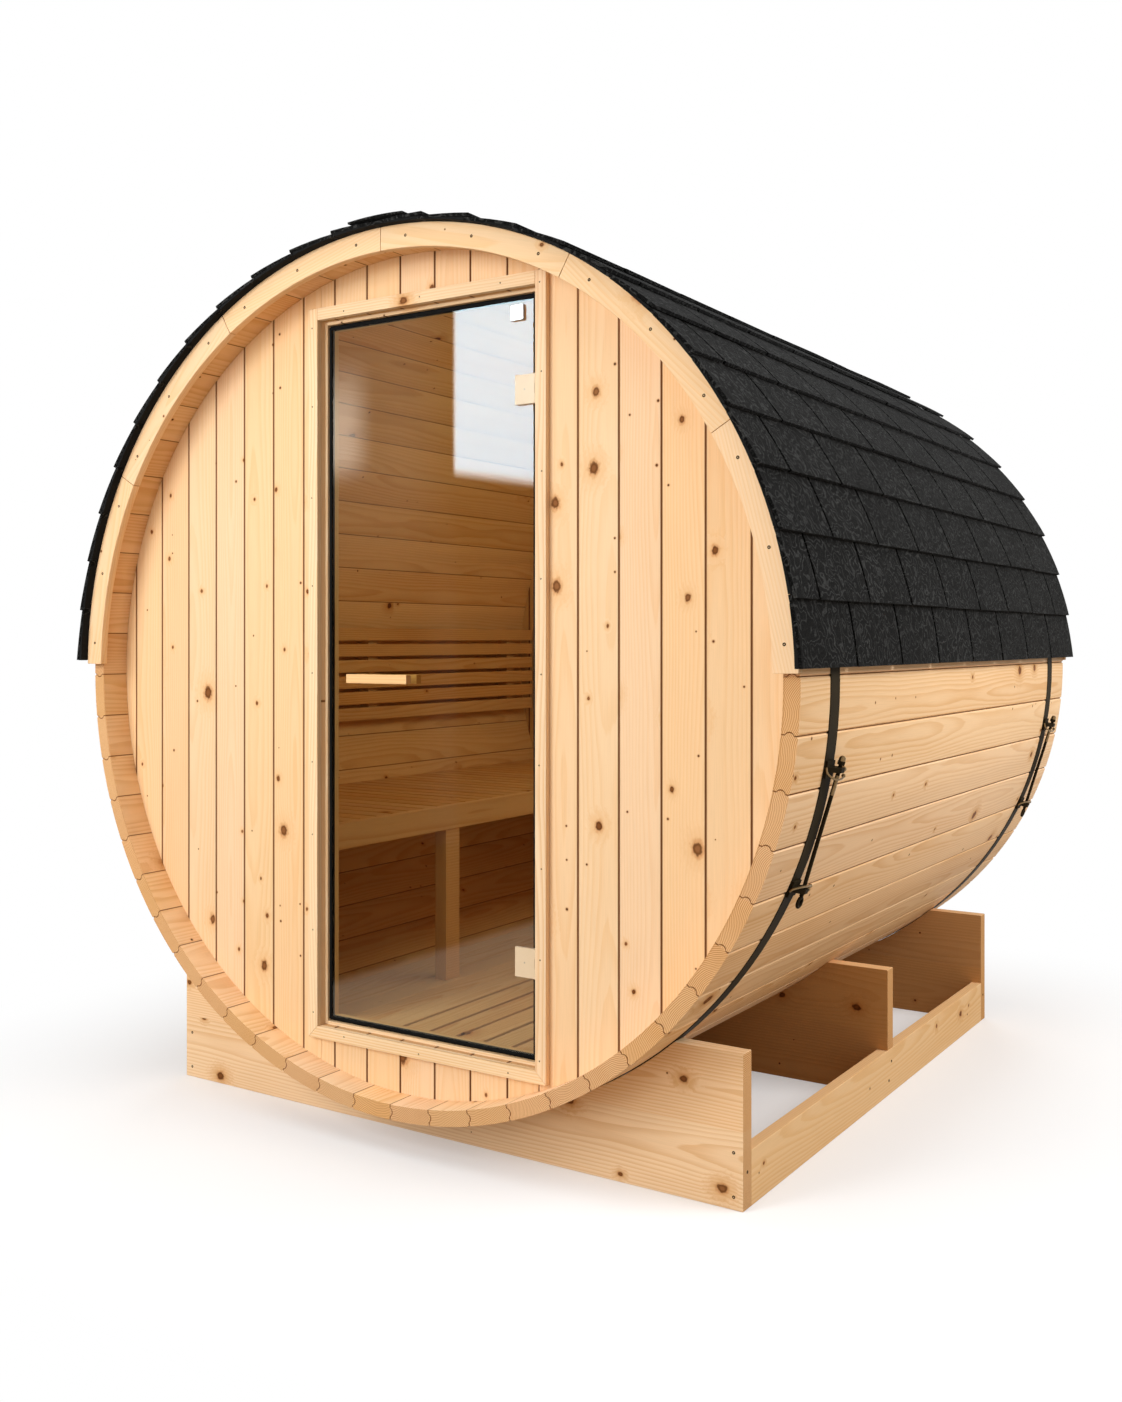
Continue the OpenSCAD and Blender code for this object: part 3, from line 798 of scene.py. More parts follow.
@dataclass(frozen=True)
class TintedGlass:
    """Bronze tinted door glass, which mirrors at its outer face only and lets tinted light through."""

    name: str
    tint: Colour = (0.75, 0.715, 0.54)
    shadow_tint: Colour = (0.82, 0.78, 0.69)
    haze_scale: float = 1.7
    haze_depth: float = 0.96
    index: float = 1.5

    def material(self) -> bpy.types.Material:
        """Build the finish.

        Returns:
            The material.
        """
        material, graph, shader = principled(self.name)
        deeper = tuple(part * self.haze_depth for part in self.tint)
        graph.feed(shader, {
            "Base Color": graph.mix(graph.noise(graph.coords(), self.haze_scale), self.tint, deeper),
            "Roughness": 0.0, "IOR": self.index, "Transmission Weight": 1.0})
        leaving = graph.add("ShaderNodeBsdfRefraction", {
            "Color": tuple(math.sqrt(part) for part in self.tint), "Roughness": 0.0, "IOR": self.index})
        backfacing = graph.add("ShaderNodeNewGeometry")["Backfacing"]
        pane = graph.join(backfacing, Taps(graph, shader.outputs)[0], leaving[0])
        clear = graph.add("ShaderNodeBsdfTransparent", {"Color": self.shadow_tint})
        path = graph.add("ShaderNodeLightPath")
        lighting = path["Is Shadow Ray"].most(path["Is Diffuse Ray"])
        graph.surface(graph.join(lighting, pane, clear[0]))
        return material


def dress(material: bpy.types.Material, *nodes: str, soften: float = 0.0, rounds: int = 2) -> None:
    """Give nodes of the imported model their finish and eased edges.

    Args:
        material: the finish.
        nodes: names of the nodes.
        soften: width of the eased edges in metres, 0 for none.
        rounds: segments of the eased edges.
    """
    for node in nodes:
        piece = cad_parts[node]
        piece.data.materials.clear()
        piece.data.materials.append(material)
        if soften:
            weld = piece.modifiers.new("weld", "WELD")
            weld.merge_threshold = WELD_REACH
            bevel = piece.modifiers.new("eased_edges", "BEVEL")
            bevel.width = soften
            bevel.segments = rounds
            bevel.limit_method = "ANGLE"
            bevel.angle_limit = BEVEL_ANGLE
            bevel.harden_normals = True
        LOG.info("dressed %s with %s", node, material.name)


def add_object(name: str, mesh: bmesh.types.BMesh, material: bpy.types.Material) -> bpy.types.Object:
    """Turn a mesh into an object of the scene.

    Args:
        name: the object's name.
        mesh: its mesh, which is freed.
        material: its finish.

    Returns:
        The new object.
    """
    data = bpy.data.meshes.new(name)
    mesh.to_mesh(data)
    mesh.free()
    data.materials.append(material)
    made = bpy.data.objects.new(name, data)
    bpy.context.scene.collection.objects.link(made)
    return made


def add_piece(name: str, mesh: bmesh.types.BMesh, body: Body, slot: str,
              material: bpy.types.Material, stands_for: Sequence[str] = ()) -> None:
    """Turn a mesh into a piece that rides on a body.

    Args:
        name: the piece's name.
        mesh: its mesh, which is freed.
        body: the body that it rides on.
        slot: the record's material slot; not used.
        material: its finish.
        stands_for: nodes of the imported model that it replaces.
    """
    bmesh.ops.recalc_face_normals(mesh, faces=mesh.faces)
    piece = add_object(name, mesh, material)
    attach(piece, body.value)
    if stands_for:
        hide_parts(*stands_for)
    LOG.info("built %s: %d faces", name, len(piece.data.polygons))


def add_rings(mesh: bmesh.types.BMesh, rings: Sheet) -> None:
    """Join rings of points, one after the other, into a closed form.

    Args:
        mesh: the mesh to add to.
        rings: the rings, each with the same count of points.
    """
    made = [[mesh.verts.new(point) for point in ring] for ring in rings]
    count = len(made[0])
    for lower, upper in zip(made, made[1:]):
        for step in range(count):
            after = (step + 1) % count
            mesh.faces.new((lower[step], lower[after], upper[after], upper[step]))
    mesh.faces.new(list(reversed(made[0])))
    mesh.faces.new(made[-1])


def add_slab(mesh: bmesh.types.BMesh, under: Sheet, over: Sheet) -> None:
    """Close two sheets of points, one over the other, into a slab.

    Args:
        mesh: the mesh to add to.
        under: rows of points of the lower sheet.
        over: rows of points of the upper sheet.
    """
    low, high = ([[mesh.verts.new(point) for point in row] for row in sheet] for sheet in (under, over))
    rows, columns = len(low) - 1, len(low[0]) - 1
    for row in range(rows):
        for column in range(columns):
            for sheet in (low, high):
                mesh.faces.new((sheet[row][column], sheet[row][column + 1],
                                sheet[row + 1][column + 1], sheet[row + 1][column]))
    for column in range(columns):
        for row in (0, rows):
            mesh.faces.new((low[row][column], low[row][column + 1],
                            high[row][column + 1], high[row][column]))
    for row in range(rows):
        for column in (0, columns):
            mesh.faces.new((low[row][column], low[row + 1][column],
                            high[row + 1][column], high[row][column]))


def add_lathe(mesh: bmesh.types.BMesh, place: Matrix, profile: Sequence[Range], steps: int,
              spin: Callable[[int, int], float] = lambda row, step: 1.0) -> None:
    """Turn a profile about the local Z axis into a closed form.

    Args:
        mesh: the mesh to add to.
        place: where the form goes.
        profile: radius and height of each ring, from one end to the other.
        steps: points on a ring.
        spin: share of a ring's radius at a point, by ring and step.
    """
    rings = []
    for row, (radius, height) in enumerate(profile):
        ring = []
        for step in range(steps):
            angle = math.tau * step / steps
            reach = radius * spin(row, step)
            ring.append(place @ Vector((reach * math.cos(angle), reach * math.sin(angle), height)))
        rings.append(ring)
    add_rings(mesh, rings)


def add_tube(mesh: bmesh.types.BMesh, path: Sequence[Vector], radius: float, steps: int = 8) -> None:
    """Sweep a round section along a path into a closed form.

    Args:
        mesh: the mesh to add to.
        path: points along the middle.
        radius: radius of the section.
        steps: points round the section.
    """
    rings = []
    side = Vector((0.0, 0.0, 1.0))
    turns = [math.tau * step / steps for step in range(steps)]
    for index, point in enumerate(path):
        ahead = path[min(index + 1, len(path) - 1)] - path[max(index - 1, 0)]
        first = ahead.cross(side).normalized()
        side = first.cross(ahead).normalized()
        rings.append([point + radius * (first * math.cos(turn) + side * math.sin(turn)) for turn in turns])
    add_rings(mesh, rings)


def curve_through(points: Sequence[Vector], steps: int = 6) -> list[Vector]:
    """Ease a path through its points.

    Args:
        points: the points to pass.
        steps: pieces between two points.

    Returns:
        The points of the eased path.
    """
    path = []
    for index in range(len(points) - 1):
        before, after = points[max(index - 1, 0)], points[min(index + 2, len(points) - 1)]
        start, end = points[index], points[index + 1]
        for step in range(steps):
            t = step / steps
            path.append(0.5 * (2 * start + (end - before) * t
                               + (2 * before - 5 * start + 4 * end - after) * t ** 2
                               + (3 * start - before - 3 * end + after) * t ** 3))
    return path + [points[-1]]


def facing(point: Vector, normal: Vector) -> Matrix:
    """Return the place at a point whose Z axis turns to a normal."""
    return Matrix.Translation(point) @ normal.to_track_quat("Z", "Y").to_matrix().to_4x4()


@dataclass
class Timber:
    """All timber nodes: staves, walls, frame, base, floor and bench."""

    ease: float = 0.0015
    board_ease: float = 0.0026
    wall_seam: float = 0.0026
    casing_face: float = -0.936
    bench_height: float = 0.692
    stave_pale: Colour = (0.94, 0.660, 0.400)
    stave_late: Colour = (0.74, 0.415, 0.175)
    faint_late: Colour = (0.80, 0.500, 0.250)
    fascia_pale: Colour = (0.86, 0.615, 0.380)
    casing_pale: Colour = (0.87, 0.660, 0.435)
    handle_pale: Colour = (0.85, 0.560, 0.275)
    cradle_pale: Colour = (0.93, 0.670, 0.415)
    # A darker copy of the cradle colour, as painted shade for the cradles under the barrel.
    cradle_deep: Colour = (0.84, 0.530, 0.270)
    rail_pale: Colour = (0.84, 0.575, 0.330)
    floor_pale: Colour = (0.91, 0.690, 0.455)
    bench_pale: Colour = (0.84, 0.560, 0.300)
    bench_late: Colour = (0.62, 0.300, 0.100)
    # Paler than the bench's colour: partly the frame's own tone, partly painted light for the light it takes
    # through the door.
    apron_pale: Colour = (0.90, 0.630, 0.370)

    def dress_barrel(self) -> None:
        """Dress the staves, end walls and fascia boards."""
        staves = SpruceFinish("spruce_staves", StaveLay(), self.stave_pale, self.stave_late, knot_share=0.16)
        parts = ("bottom", "low_right", "right", "high_right", "top", "high_left", "left", "low_left")
        dress(staves.material(), *(f"staves_{part}" for part in parts), soften=self.ease)
        boards = PlankLay(Axis.Z, Axis.X, SIZES.board_width, SIZES.board_phase, SIZES.wall_face,
                          salt=3.0, seam=self.wall_seam)
        walls = SpruceFinish("spruce_walls", boards, late=self.faint_late)
        parts = ("left", "over_door", "under_door", "rear")
        dress(walls.material(), *(f"wall_{part}" for part in parts), soften=self.board_ease)
        boards = replace(boards, phase=SIZES.rough_right, salt=40.0)
        right = replace(walls, name="spruce_wall_right", lay=boards)
        dress(right.material(), "wall_right", soften=self.board_ease)
        for part, face, salt in (("front", -SIZES.fascia_face, 5.0), ("rear", SIZES.half_length, 25.0)):
            arcs = SpruceFinish(f"spruce_fascia_{part}", ArcLay(face, salt), self.fascia_pale,
                                self.faint_late, knot_share=0.10)
            dress(arcs.material(), f"fascia_{part}", soften=self.ease)

    def dress_doorway(self) -> None:
        """Dress the frame and casing round the door, and its handle."""
        upright = PlankLay(Axis.Z, Axis.X, pitch=0.30, phase=-0.10, face=self.casing_face, salt=60.0)
        level = PlankLay(Axis.X, Axis.Z, pitch=0.9, phase=0.15, face=self.casing_face, salt=70.0)
        for part, casing, lay in (("jambs", "sides", upright), ("head_sill", "head_sill", level)):
            finish = SpruceFinish(f"spruce_{part}", lay, self.casing_pale, knot_share=0.06)
            dress(finish.material(), f"frame_{part}", f"casing_{casing}", soften=self.ease)
        bar = PlankLay(Axis.X, Axis.Y, pitch=0.032, phase=-0.946, face=1.04, salt=80.0)
        handle = SpruceFinish("spruce_handle", bar, self.handle_pale, knot_share=0.0)
        dress(handle.material(), "door_handle", soften=self.ease)

    def dress_base(self) -> None:
        """Dress the cradles, of which two take a darker colour and painted shade for the barrel's shadow,
        and the side rails.
        """
        # The middle and rear cradles take the darker copy and painted shade on their broad faces, for the
        # barrel's shadow.
        for part, face, salt, shade, pale in (("front", SIZES.cradle_front, 90.0, 0.0, self.cradle_pale),
                                              ("middle", -0.03, 95.0, 0.7, self.cradle_deep),
                                              ("rear", 0.774, 100.0, 0.52, self.cradle_deep)):
            glued = PlankLay(Axis.X, Axis.Z, pitch=0.157, face=face, salt=salt, shade=shade)
            cradle = SpruceFinish(f"spruce_cradle_{part}", glued, pale, knot_share=0.42, tone=0.04)
            dress(cradle.material(), f"cradle_{part}", soften=self.ease)
        for part, face, salt in (("left", -0.793, 110.0), ("right", 0.793, 115.0)):
            lay = PlankLay(Axis.Y, Axis.Z, pitch=0.14, phase=-0.01, face=face, salt=salt)
            rail = SpruceFinish(f"spruce_rail_{part}", lay, self.rail_pale, knot_share=0.25)
            dress(rail.material(), f"rail_{part}", soften=self.ease)

    def dress_interior(self) -> None:
        """Dress the floor, bench and backrest."""
        boards = PlankLay(Axis.Y, Axis.X, pitch=0.077, phase=-0.0885, face=0.232, salt=120.0)
        floor = SpruceFinish("spruce_floor", boards, self.floor_pale, knot_share=0.2)
        dress(floor.material(), "floor_boards", soften=self.ease)
        bearers = PlankLay(Axis.X, Axis.Y, pitch=0.5, phase=-1.2, face=0.2, salt=130.0)
        dress(SpruceFinish("spruce_bearers", bearers).material(), "floor_bearers")
        cross = PlankLay(Axis.X, Axis.Y, pitch=1.774 / 29, phase=-0.887, face=self.bench_height, salt=140.0)
        seat = SpruceFinish("spruce_seat", cross, self.bench_pale, self.bench_late, knot_share=0.1)
        dress(seat.material(), "bench_seat", soften=self.ease)
        long = PlankLay(Axis.Y, Axis.X, pitch=0.2, phase=-0.9, face=self.bench_height, salt=150.0)
        # The frame takes the paler colour, partly painted light.
        apron = SpruceFinish("spruce_bench_frame", long, self.apron_pale, knot_share=0.12)
        dress(apron.material(), "bench_frame", soften=self.ease)
        rows = PlankLay(Axis.Y, Axis.Z, pitch=0.0494, phase=0.8755, face=-0.88, salt=160.0)
        slats = SpruceFinish("spruce_backrest", rows, self.bench_pale, self.bench_late, knot_share=0.12)
        dress(slats.material(), "backrest_slats", soften=self.ease)
        battens = PlankLay(Axis.Z, Axis.Y, pitch=0.5, phase=-1.0, face=-0.9, salt=170.0)
        dress(SpruceFinish("spruce_battens", battens).material(), "backrest_battens")

    def build(self) -> None:
        """Dress all timber."""
        self.dress_barrel()
        self.dress_doorway()
        self.dress_base()
        self.dress_interior()


@dataclass
class ShingleRoof:
    """Courses of shingle tabs down both sides, caps over the ridge and felt that closes the verges."""

    eave_angle: float = math.radians(1.5)
    top_angle: float = math.radians(89.97)
    course_count: int = 12
    lap_ratio: float = 1.06
    top_radius: float = 0.9804
    low_radius: float = 0.98857
    thick: float = 0.0068
    tab_width: float = 0.256
    tab_least: float = 0.06
    tab_rows: int = 4
    tab_columns: int = 3
    slit: float = 0.009
    butt_lift: float = 0.0022
    butt_play: float = 0.0008
    shift_play: float = 0.02
    cut_play: float = 0.004
    cap_length: float = 0.26
    cap_lap: float = 0.04
    cap_share: float = 0.6
    cap_radius: float = 0.9929
    cap_rise: float = 0.0038
    cap_thick: float = 0.0042
    cap_steps: int = 6
    verge_radius: float = 0.9803
    verge_width: float = 0.019
    verge_inset: float = 0.0005
    verge_gap: float = 0.0003
    verge_shares: Range = (0.065, 0.88)
    verge_steps: int = 4
    seed: int = 7

    @property
    def course_step(self) -> float:
        """Angle between courses, in radians."""
        return (math.pi / 2 - self.eave_angle) / self.course_count

    def reach(self, share: float) -> float:
        """Return the radius of a course's underside, by the share of the way from its butt to its head."""
        return self.low_radius + (self.top_radius - self.low_radius) * share

    def add_tab(self, mesh: bmesh.types.BMesh, side: Side, angles: Range, ends: Range, lifts: Range) -> None:
        """Add one tab as a closed slab that follows the roof.

        Args:
            mesh: the mesh to add to.
            side: slope that it lies on.
            angles: angles of its butt and its head.
            ends: its two ends along the barrel.
            lifts: lift of the butt at those ends.
        """
        under, over = [], []
        for row in range(self.tab_rows + 1):
            share = row / self.tab_rows
            angle = angles[0] + (angles[1] - angles[0]) * share
            for sheet, layer in ((under, 0.0), (over, self.thick)):
                line = []
                for column in range(self.tab_columns + 1):
                    across = column / self.tab_columns
                    lift = (lifts[0] * (1 - across) + lifts[1] * across) * (1 - share) ** 2
                    y = ends[0] + (ends[1] - ends[0]) * across
                    line.append(SIZES.around(angle, self.reach(share) + lift + layer, y, side))
                sheet.append(line)
        add_slab(mesh, under, over)

    def tab_ends(self, course: int, draw: random.Random) -> list[Range]:
        """Cut a course into tabs.

        Args:
            course: the course's number from the eaves.
            draw: source of the small irregularities.

        Returns:
            The two ends of each tab along the barrel.
        """
        stagger = self.tab_width * (0.5 if course % 2 else 0.0)
        shift = stagger + draw.uniform(-self.shift_play, self.shift_play)
        cut = -SIZES.roof_half - self.tab_width + shift
        cuts = [-SIZES.roof_half]
        while cut < SIZES.roof_half - self.tab_least:
            if cut > -SIZES.roof_half + self.tab_least:
                cuts.append(cut + draw.uniform(-self.cut_play, self.cut_play))
            cut += self.tab_width
        cuts.append(SIZES.roof_half)
        half = self.slit / 2
        return [(low + (half if low > cuts[0] else 0.0), high - (half if high < cuts[-1] else 0.0))
                for low, high in zip(cuts, cuts[1:])]

    def slope(self, side: Side) -> bmesh.types.BMesh:
        """Build the courses of one slope.

        Args:
            side: the slope.

        Returns:
            The mesh of its tabs.
        """
        draw = random.Random(self.seed + int(side.value))
        mesh = bmesh.new()
        for course in range(self.course_count):
            low = self.eave_angle + course * self.course_step
            head = min(low + self.course_step * self.lap_ratio, self.top_angle)
            lift = draw.uniform(0.0, self.butt_lift)
            for ends in self.tab_ends(course, draw):
                nudge = draw.uniform(-self.butt_play, self.butt_play)
                after = draw.uniform(0.0, self.butt_lift)
                self.add_tab(mesh, side, (low + nudge, head), ends, (lift, after))
                lift = max(0.0, after + draw.uniform(-self.butt_play, self.butt_play))
        return mesh

    def ridge(self) -> bmesh.types.BMesh:
        """Build the lapped caps over the ridge.

        Returns:
            The mesh of the caps.
        """
        mesh = bmesh.new()
        half = self.course_step * self.cap_share
        angles = [math.pi / 2 - half + 2 * half * step / self.cap_steps
                  for step in range(self.cap_steps + 1)]
        count = round(2 * SIZES.roof_half / self.cap_length)
        pitch = 2 * SIZES.roof_half / count
        for cap in range(count):
            front = -SIZES.roof_half + cap * pitch
            rear = min(front + pitch + self.cap_lap, SIZES.roof_half)
            under, over = ([[SIZES.around(angle, self.cap_radius + rise + layer, y) for angle in angles]
                            for y, rise in ((front, self.cap_rise), (rear, 0.0))]
                           for layer in (0.0, self.cap_thick))
            add_slab(mesh, under, over)
        return mesh

    def verge(self) -> bmesh.types.BMesh:
        """Build the felt wedges that close the laps at both ends of the roof.

        Returns:
            The mesh of the wedges.
        """
        mesh = bmesh.new()
        span = self.course_step * self.lap_ratio
        for side in Side:
            for end in End:
                outer = end.value * (SIZES.roof_half - self.verge_inset)
                edges = (outer, outer - end.value * self.verge_width)
                for course in range(self.course_count):
                    low = self.eave_angle + course * self.course_step
                    start = self.verge_shares[0] if course else 0.0
                    shares = [start + (self.verge_shares[1] - start) * step / self.verge_steps
                              for step in range(self.verge_steps + 1)]
                    under = [[SIZES.around(low + span * share, self.verge_radius, y, side)
                              for share in shares] for y in edges]
                    over = [[SIZES.around(low + span * share, self.reach(share) - self.verge_gap, y, side)
                             for share in shares] for y in edges]
                    add_slab(mesh, under, over)
        return mesh

    def build(self) -> None:
        """Build both slopes, the ridge and the verges, and dress the felt under them."""
        finish = MineralFinish("mineral_shingle").material()
        for side in Side:
            part = side.name.lower()
            add_piece(f"shingles_{part}", self.slope(side), Body.BARREL, "shingle", finish,
                      (f"roof_{part}",))
        add_piece("ridge_caps", self.ridge(), Body.BARREL, "shingle", finish, ("roof_ridge",))
        felt = SpeckleFinish("roofing_felt", (0.005, 0.005, 0.005), (0.012, 0.012, 0.012), 0.8, 0.95,
                             specular=0.1).material()
        add_piece("verge_felt", self.verge(), Body.BARREL, "shingle", felt)
        dress(felt, "roof_underlay")


@dataclass
class Bands:
    """Steel bands with their tensioners and the brass fittings on these."""

    bronze_low: Colour = (0.014, 0.0100, 0.0052)
    bronze_high: Colour = (0.042, 0.0310, 0.0170)
    brass_low: Colour = (0.16, 0.10, 0.045)
    brass_high: Colour = (0.34, 0.22, 0.10)
    lug_angles: Range = (math.radians(-10.0), math.radians(-24.5))
    lug_ear: float = 0.010
    lug_ease: float = 0.0012
    rod_stand: float = 0.014
    rod_shift: float = 0.020
    rod_radius: float = 0.004
    knob_stand: float = 0.001
    knob_shift: float = 0.0078
    knob_collar: float = 0.0046
    knob_neck: float = 0.0026
    knob_ball: float = 0.0058
    knob_reach: float = 0.0118
    wire_radius: float = 0.0021
    wire_bead: float = 0.0042
    wire_drops: Range = (0.017, -0.014)
    nut_height: float = 0.008
    nut_radius: float = 0.0066
    nut_skirt: float = 0.004
    nut_gap: float = 0.0004
    thread_turns: int = 14
    thread_pitch: float = 0.003
    thread_start: float = 0.052
    thread_root: float = 0.0001
    thread_crest: float = 0.0007
    round_steps: int = 16

    def local(self, angle: float, y: float) -> Matrix:
        """Stand on a band at an angle: X outwards, Y along the barrel, Z up along the hoop."""
        spot = SIZES.around(angle, SIZES.band_radius, y)
        return Matrix.Translation(spot) @ Matrix.Rotation(-angle, 4, "Y")

    def add_knob(self, mesh: bmesh.types.BMesh, place: Matrix) -> None:
        """Add a pin with a ball on the side of a lug.

        Args:
            mesh: the mesh to add to.
            place: the lug's place.
        """
        start = place @ Vector((self.rod_stand + self.knob_stand, self.rod_shift + self.knob_shift, 0.0))
        out = place.to_3x3() @ Vector((0.0, 1.0, 0.0))
        turns = [math.pi * step / 10 for step in range(2, 10)]
        ball = [(self.knob_ball * math.sin(turn), self.knob_reach - self.knob_ball * math.cos(turn))
                for turn in turns]
        collar = [(self.knob_collar, 0.0), (self.knob_collar, 0.002), (self.knob_neck, 0.003)]
        add_lathe(mesh, facing(start, out), [*collar, *ball], self.round_steps)

    def add_bail(self, mesh: bmesh.types.BMesh, place: Matrix, drop: float) -> None:
        """Add the bent wire that passes before a lug, with a bead on its end.

        Args:
            mesh: the mesh to add to.
            place: the lug's place.
            drop: how far the wire hangs under the lug, negative for over it.
        """
        spots = ((0.003, -0.019, -0.25), (0.008, -0.021, 0.35), (0.016, -0.010, 0.85),
                 (0.021, 0.008, 1.0), (0.021, 0.026, 0.92), (0.019, 0.035, 0.7))
        path = curve_through([place @ Vector((out, along, -share * drop)) for out, along, share in spots])
        add_tube(mesh, path, self.wire_radius)
        turns = [math.pi * step / 8 for step in range(1, 8)]
        bead = [(self.wire_bead * math.sin(turn), -self.wire_bead * math.cos(turn)) for turn in turns]
        add_lathe(mesh, facing(path[-1], path[-1] - path[-3]), bead, 12)

    def fittings(self, y: float) -> bmesh.types.BMesh:
        """Build knobs, wires, cap nut and thread of one tensioner.

        Args:
            y: middle of the band.

        Returns:
            The mesh of the fittings.
        """
        mesh = bmesh.new()
        lugs = [self.local(angle, y) for angle in self.lug_angles]
        for lug in lugs:
            self.add_knob(mesh, lug)
        for lug, drop in zip(lugs, self.wire_drops):
            self.add_bail(mesh, lug, drop)
        half = (self.lug_angles[0] - self.lug_angles[1]) / 2
        stand = SIZES.band_radius + self.rod_stand
        reach, sag = stand * math.sin(half), stand * math.cos(half) - SIZES.band_radius
        rod = self.local(sum(self.lug_angles) / 2, y) @ Matrix.Translation((sag, self.rod_shift, 0.0))
        top = reach + self.lug_ear + self.nut_height
        turns = [math.pi / 2 * step / 5 for step in range(5)]
        dome = [(self.nut_radius * math.cos(turn), top + self.nut_skirt + self.nut_radius * math.sin(turn))
                for turn in turns]
        add_lathe(mesh, rod, [(self.nut_radius, top + self.nut_gap), *dome], self.round_steps)
        ridges = []
        for turn in range(self.thread_turns):
            foot = reach - self.thread_start + turn * self.thread_pitch
            ridges += [(self.rod_radius + self.thread_root, foot),
                       (self.rod_radius + self.thread_crest, foot + self.thread_pitch / 2)]
        add_lathe(mesh, rod, ridges, self.round_steps)
        return mesh

    def build(self) -> None:
        """Dress the bands and tensioners and build their fittings."""
        strap = SpeckleFinish("bronze_strap", self.bronze_low, self.bronze_high, 0.40, 0.55,
                              relief=0.08, specular=0.012).material()
        brass = SpeckleFinish("aged_brass", self.brass_low, self.brass_high, 0.28, 0.42,
                              metallic=0.9, relief=0.05).material()
        for end in End:
            part = end.name.lower()
            dress(strap, f"band_{part}")
            dress(strap, f"tensioner_{part}", soften=self.lug_ease)
            mesh = self.fittings(end.value * SIZES.band_offset)
            add_piece(f"tensioner_fittings_{part}", mesh, Body.BARREL, "band_steel", brass)


@dataclass
class DoorFittings:
    """Glass with its rubber edge, clamps, catch and seal."""

    glass_ease: float = 0.0008
    clamp_ease: float = 0.0022
    clamp_gap: float = 0.0008
    catch_ease: float = 0.0029
    trim_width: float = 0.007
    trim_rise: float = 0.002
    trim_float: float = 0.0002
    trim_joint: float = 0.0001

    def add_strip(self, mesh: bmesh.types.BMesh, corner: Range, length: float, axis: Axis = Axis.Z) -> None:
        """Add one straight strip of the rubber edge on the face of the glass.

        Args:
            mesh: the mesh to add to.
            corner: lower left corner, as X and Z.
            length: its length.
            axis: the axis that it runs along.
        """
        section = ((0.0, 0.0), (0.0, 0.55), (0.12, 0.9), (0.3, 1.0),
                   (0.7, 1.0), (0.88, 0.9), (1.0, 0.55), (1.0, 0.0))
        rings = []
        for end in (0.0, length):
            ring = []
            for across, lift in section:
                wide = across * self.trim_width
                x, z = (wide, end) if axis is Axis.Z else (end, wide)
                y = SIZES.glass_face - self.trim_float - lift * self.trim_rise
                ring.append(Vector((corner[0] + x, y, corner[1] + z)))
            rings.append(ring)
        add_rings(mesh, rings)

    def trim(self) -> bmesh.types.BMesh:
        """Build the rubber edge, which stops at the clamps.

        Returns:
            The mesh of its strips.
        """
        mesh = bmesh.new()
        wide, stop = self.trim_width, SIZES.clamp_half + self.clamp_gap
        for low in (SIZES.glass_low, SIZES.glass_high - wide):
            self.add_strip(mesh, (SIZES.glass_left, low), SIZES.glass_right - SIZES.glass_left, Axis.X)
        low, high = SIZES.glass_low + wide + self.trim_joint, SIZES.glass_high - wide - self.trim_joint
        self.add_strip(mesh, (SIZES.glass_left, low), high - low)
        for level in SIZES.clamp_levels:
            self.add_strip(mesh, (SIZES.glass_right - wide, low), level - stop - low)
            low = level + stop
        self.add_strip(mesh, (SIZES.glass_right - wide, low), high - low)
        return mesh

    def build(self) -> None:
        """Dress the door's nodes and build its rubber edge."""
        dress(TintedGlass("bronze_glass").material(), "door_glass", soften=self.glass_ease)
        rubber = SpeckleFinish("black_rubber", (0.005, 0.005, 0.005), (0.010, 0.010, 0.010), 0.50, 0.70,
                               specular=0.03).material()
        dress(rubber, "door_seal")
        add_piece("glass_edge_trim", self.trim(), Body.DOOR, "seal_rubber", rubber)
        ivory = SpeckleFinish("ivory_coat", (0.66, 0.51, 0.335), (0.73, 0.58, 0.400), 0.30, 0.38,
                              coat=0.1, relief=0.05, specular=0.2).material()
        dress(ivory, "door_clamps", soften=self.clamp_ease, rounds=3)
        dress(ivory, "hinge_leaves")
        bright = SpeckleFinish("bright_plate", (0.70, 0.70, 0.70), (0.80, 0.80, 0.80), 0.16, 0.26,
                               metallic=0.5, relief=0.03).material()
        dress(bright, "door_catch", soften=self.catch_ease, rounds=4)


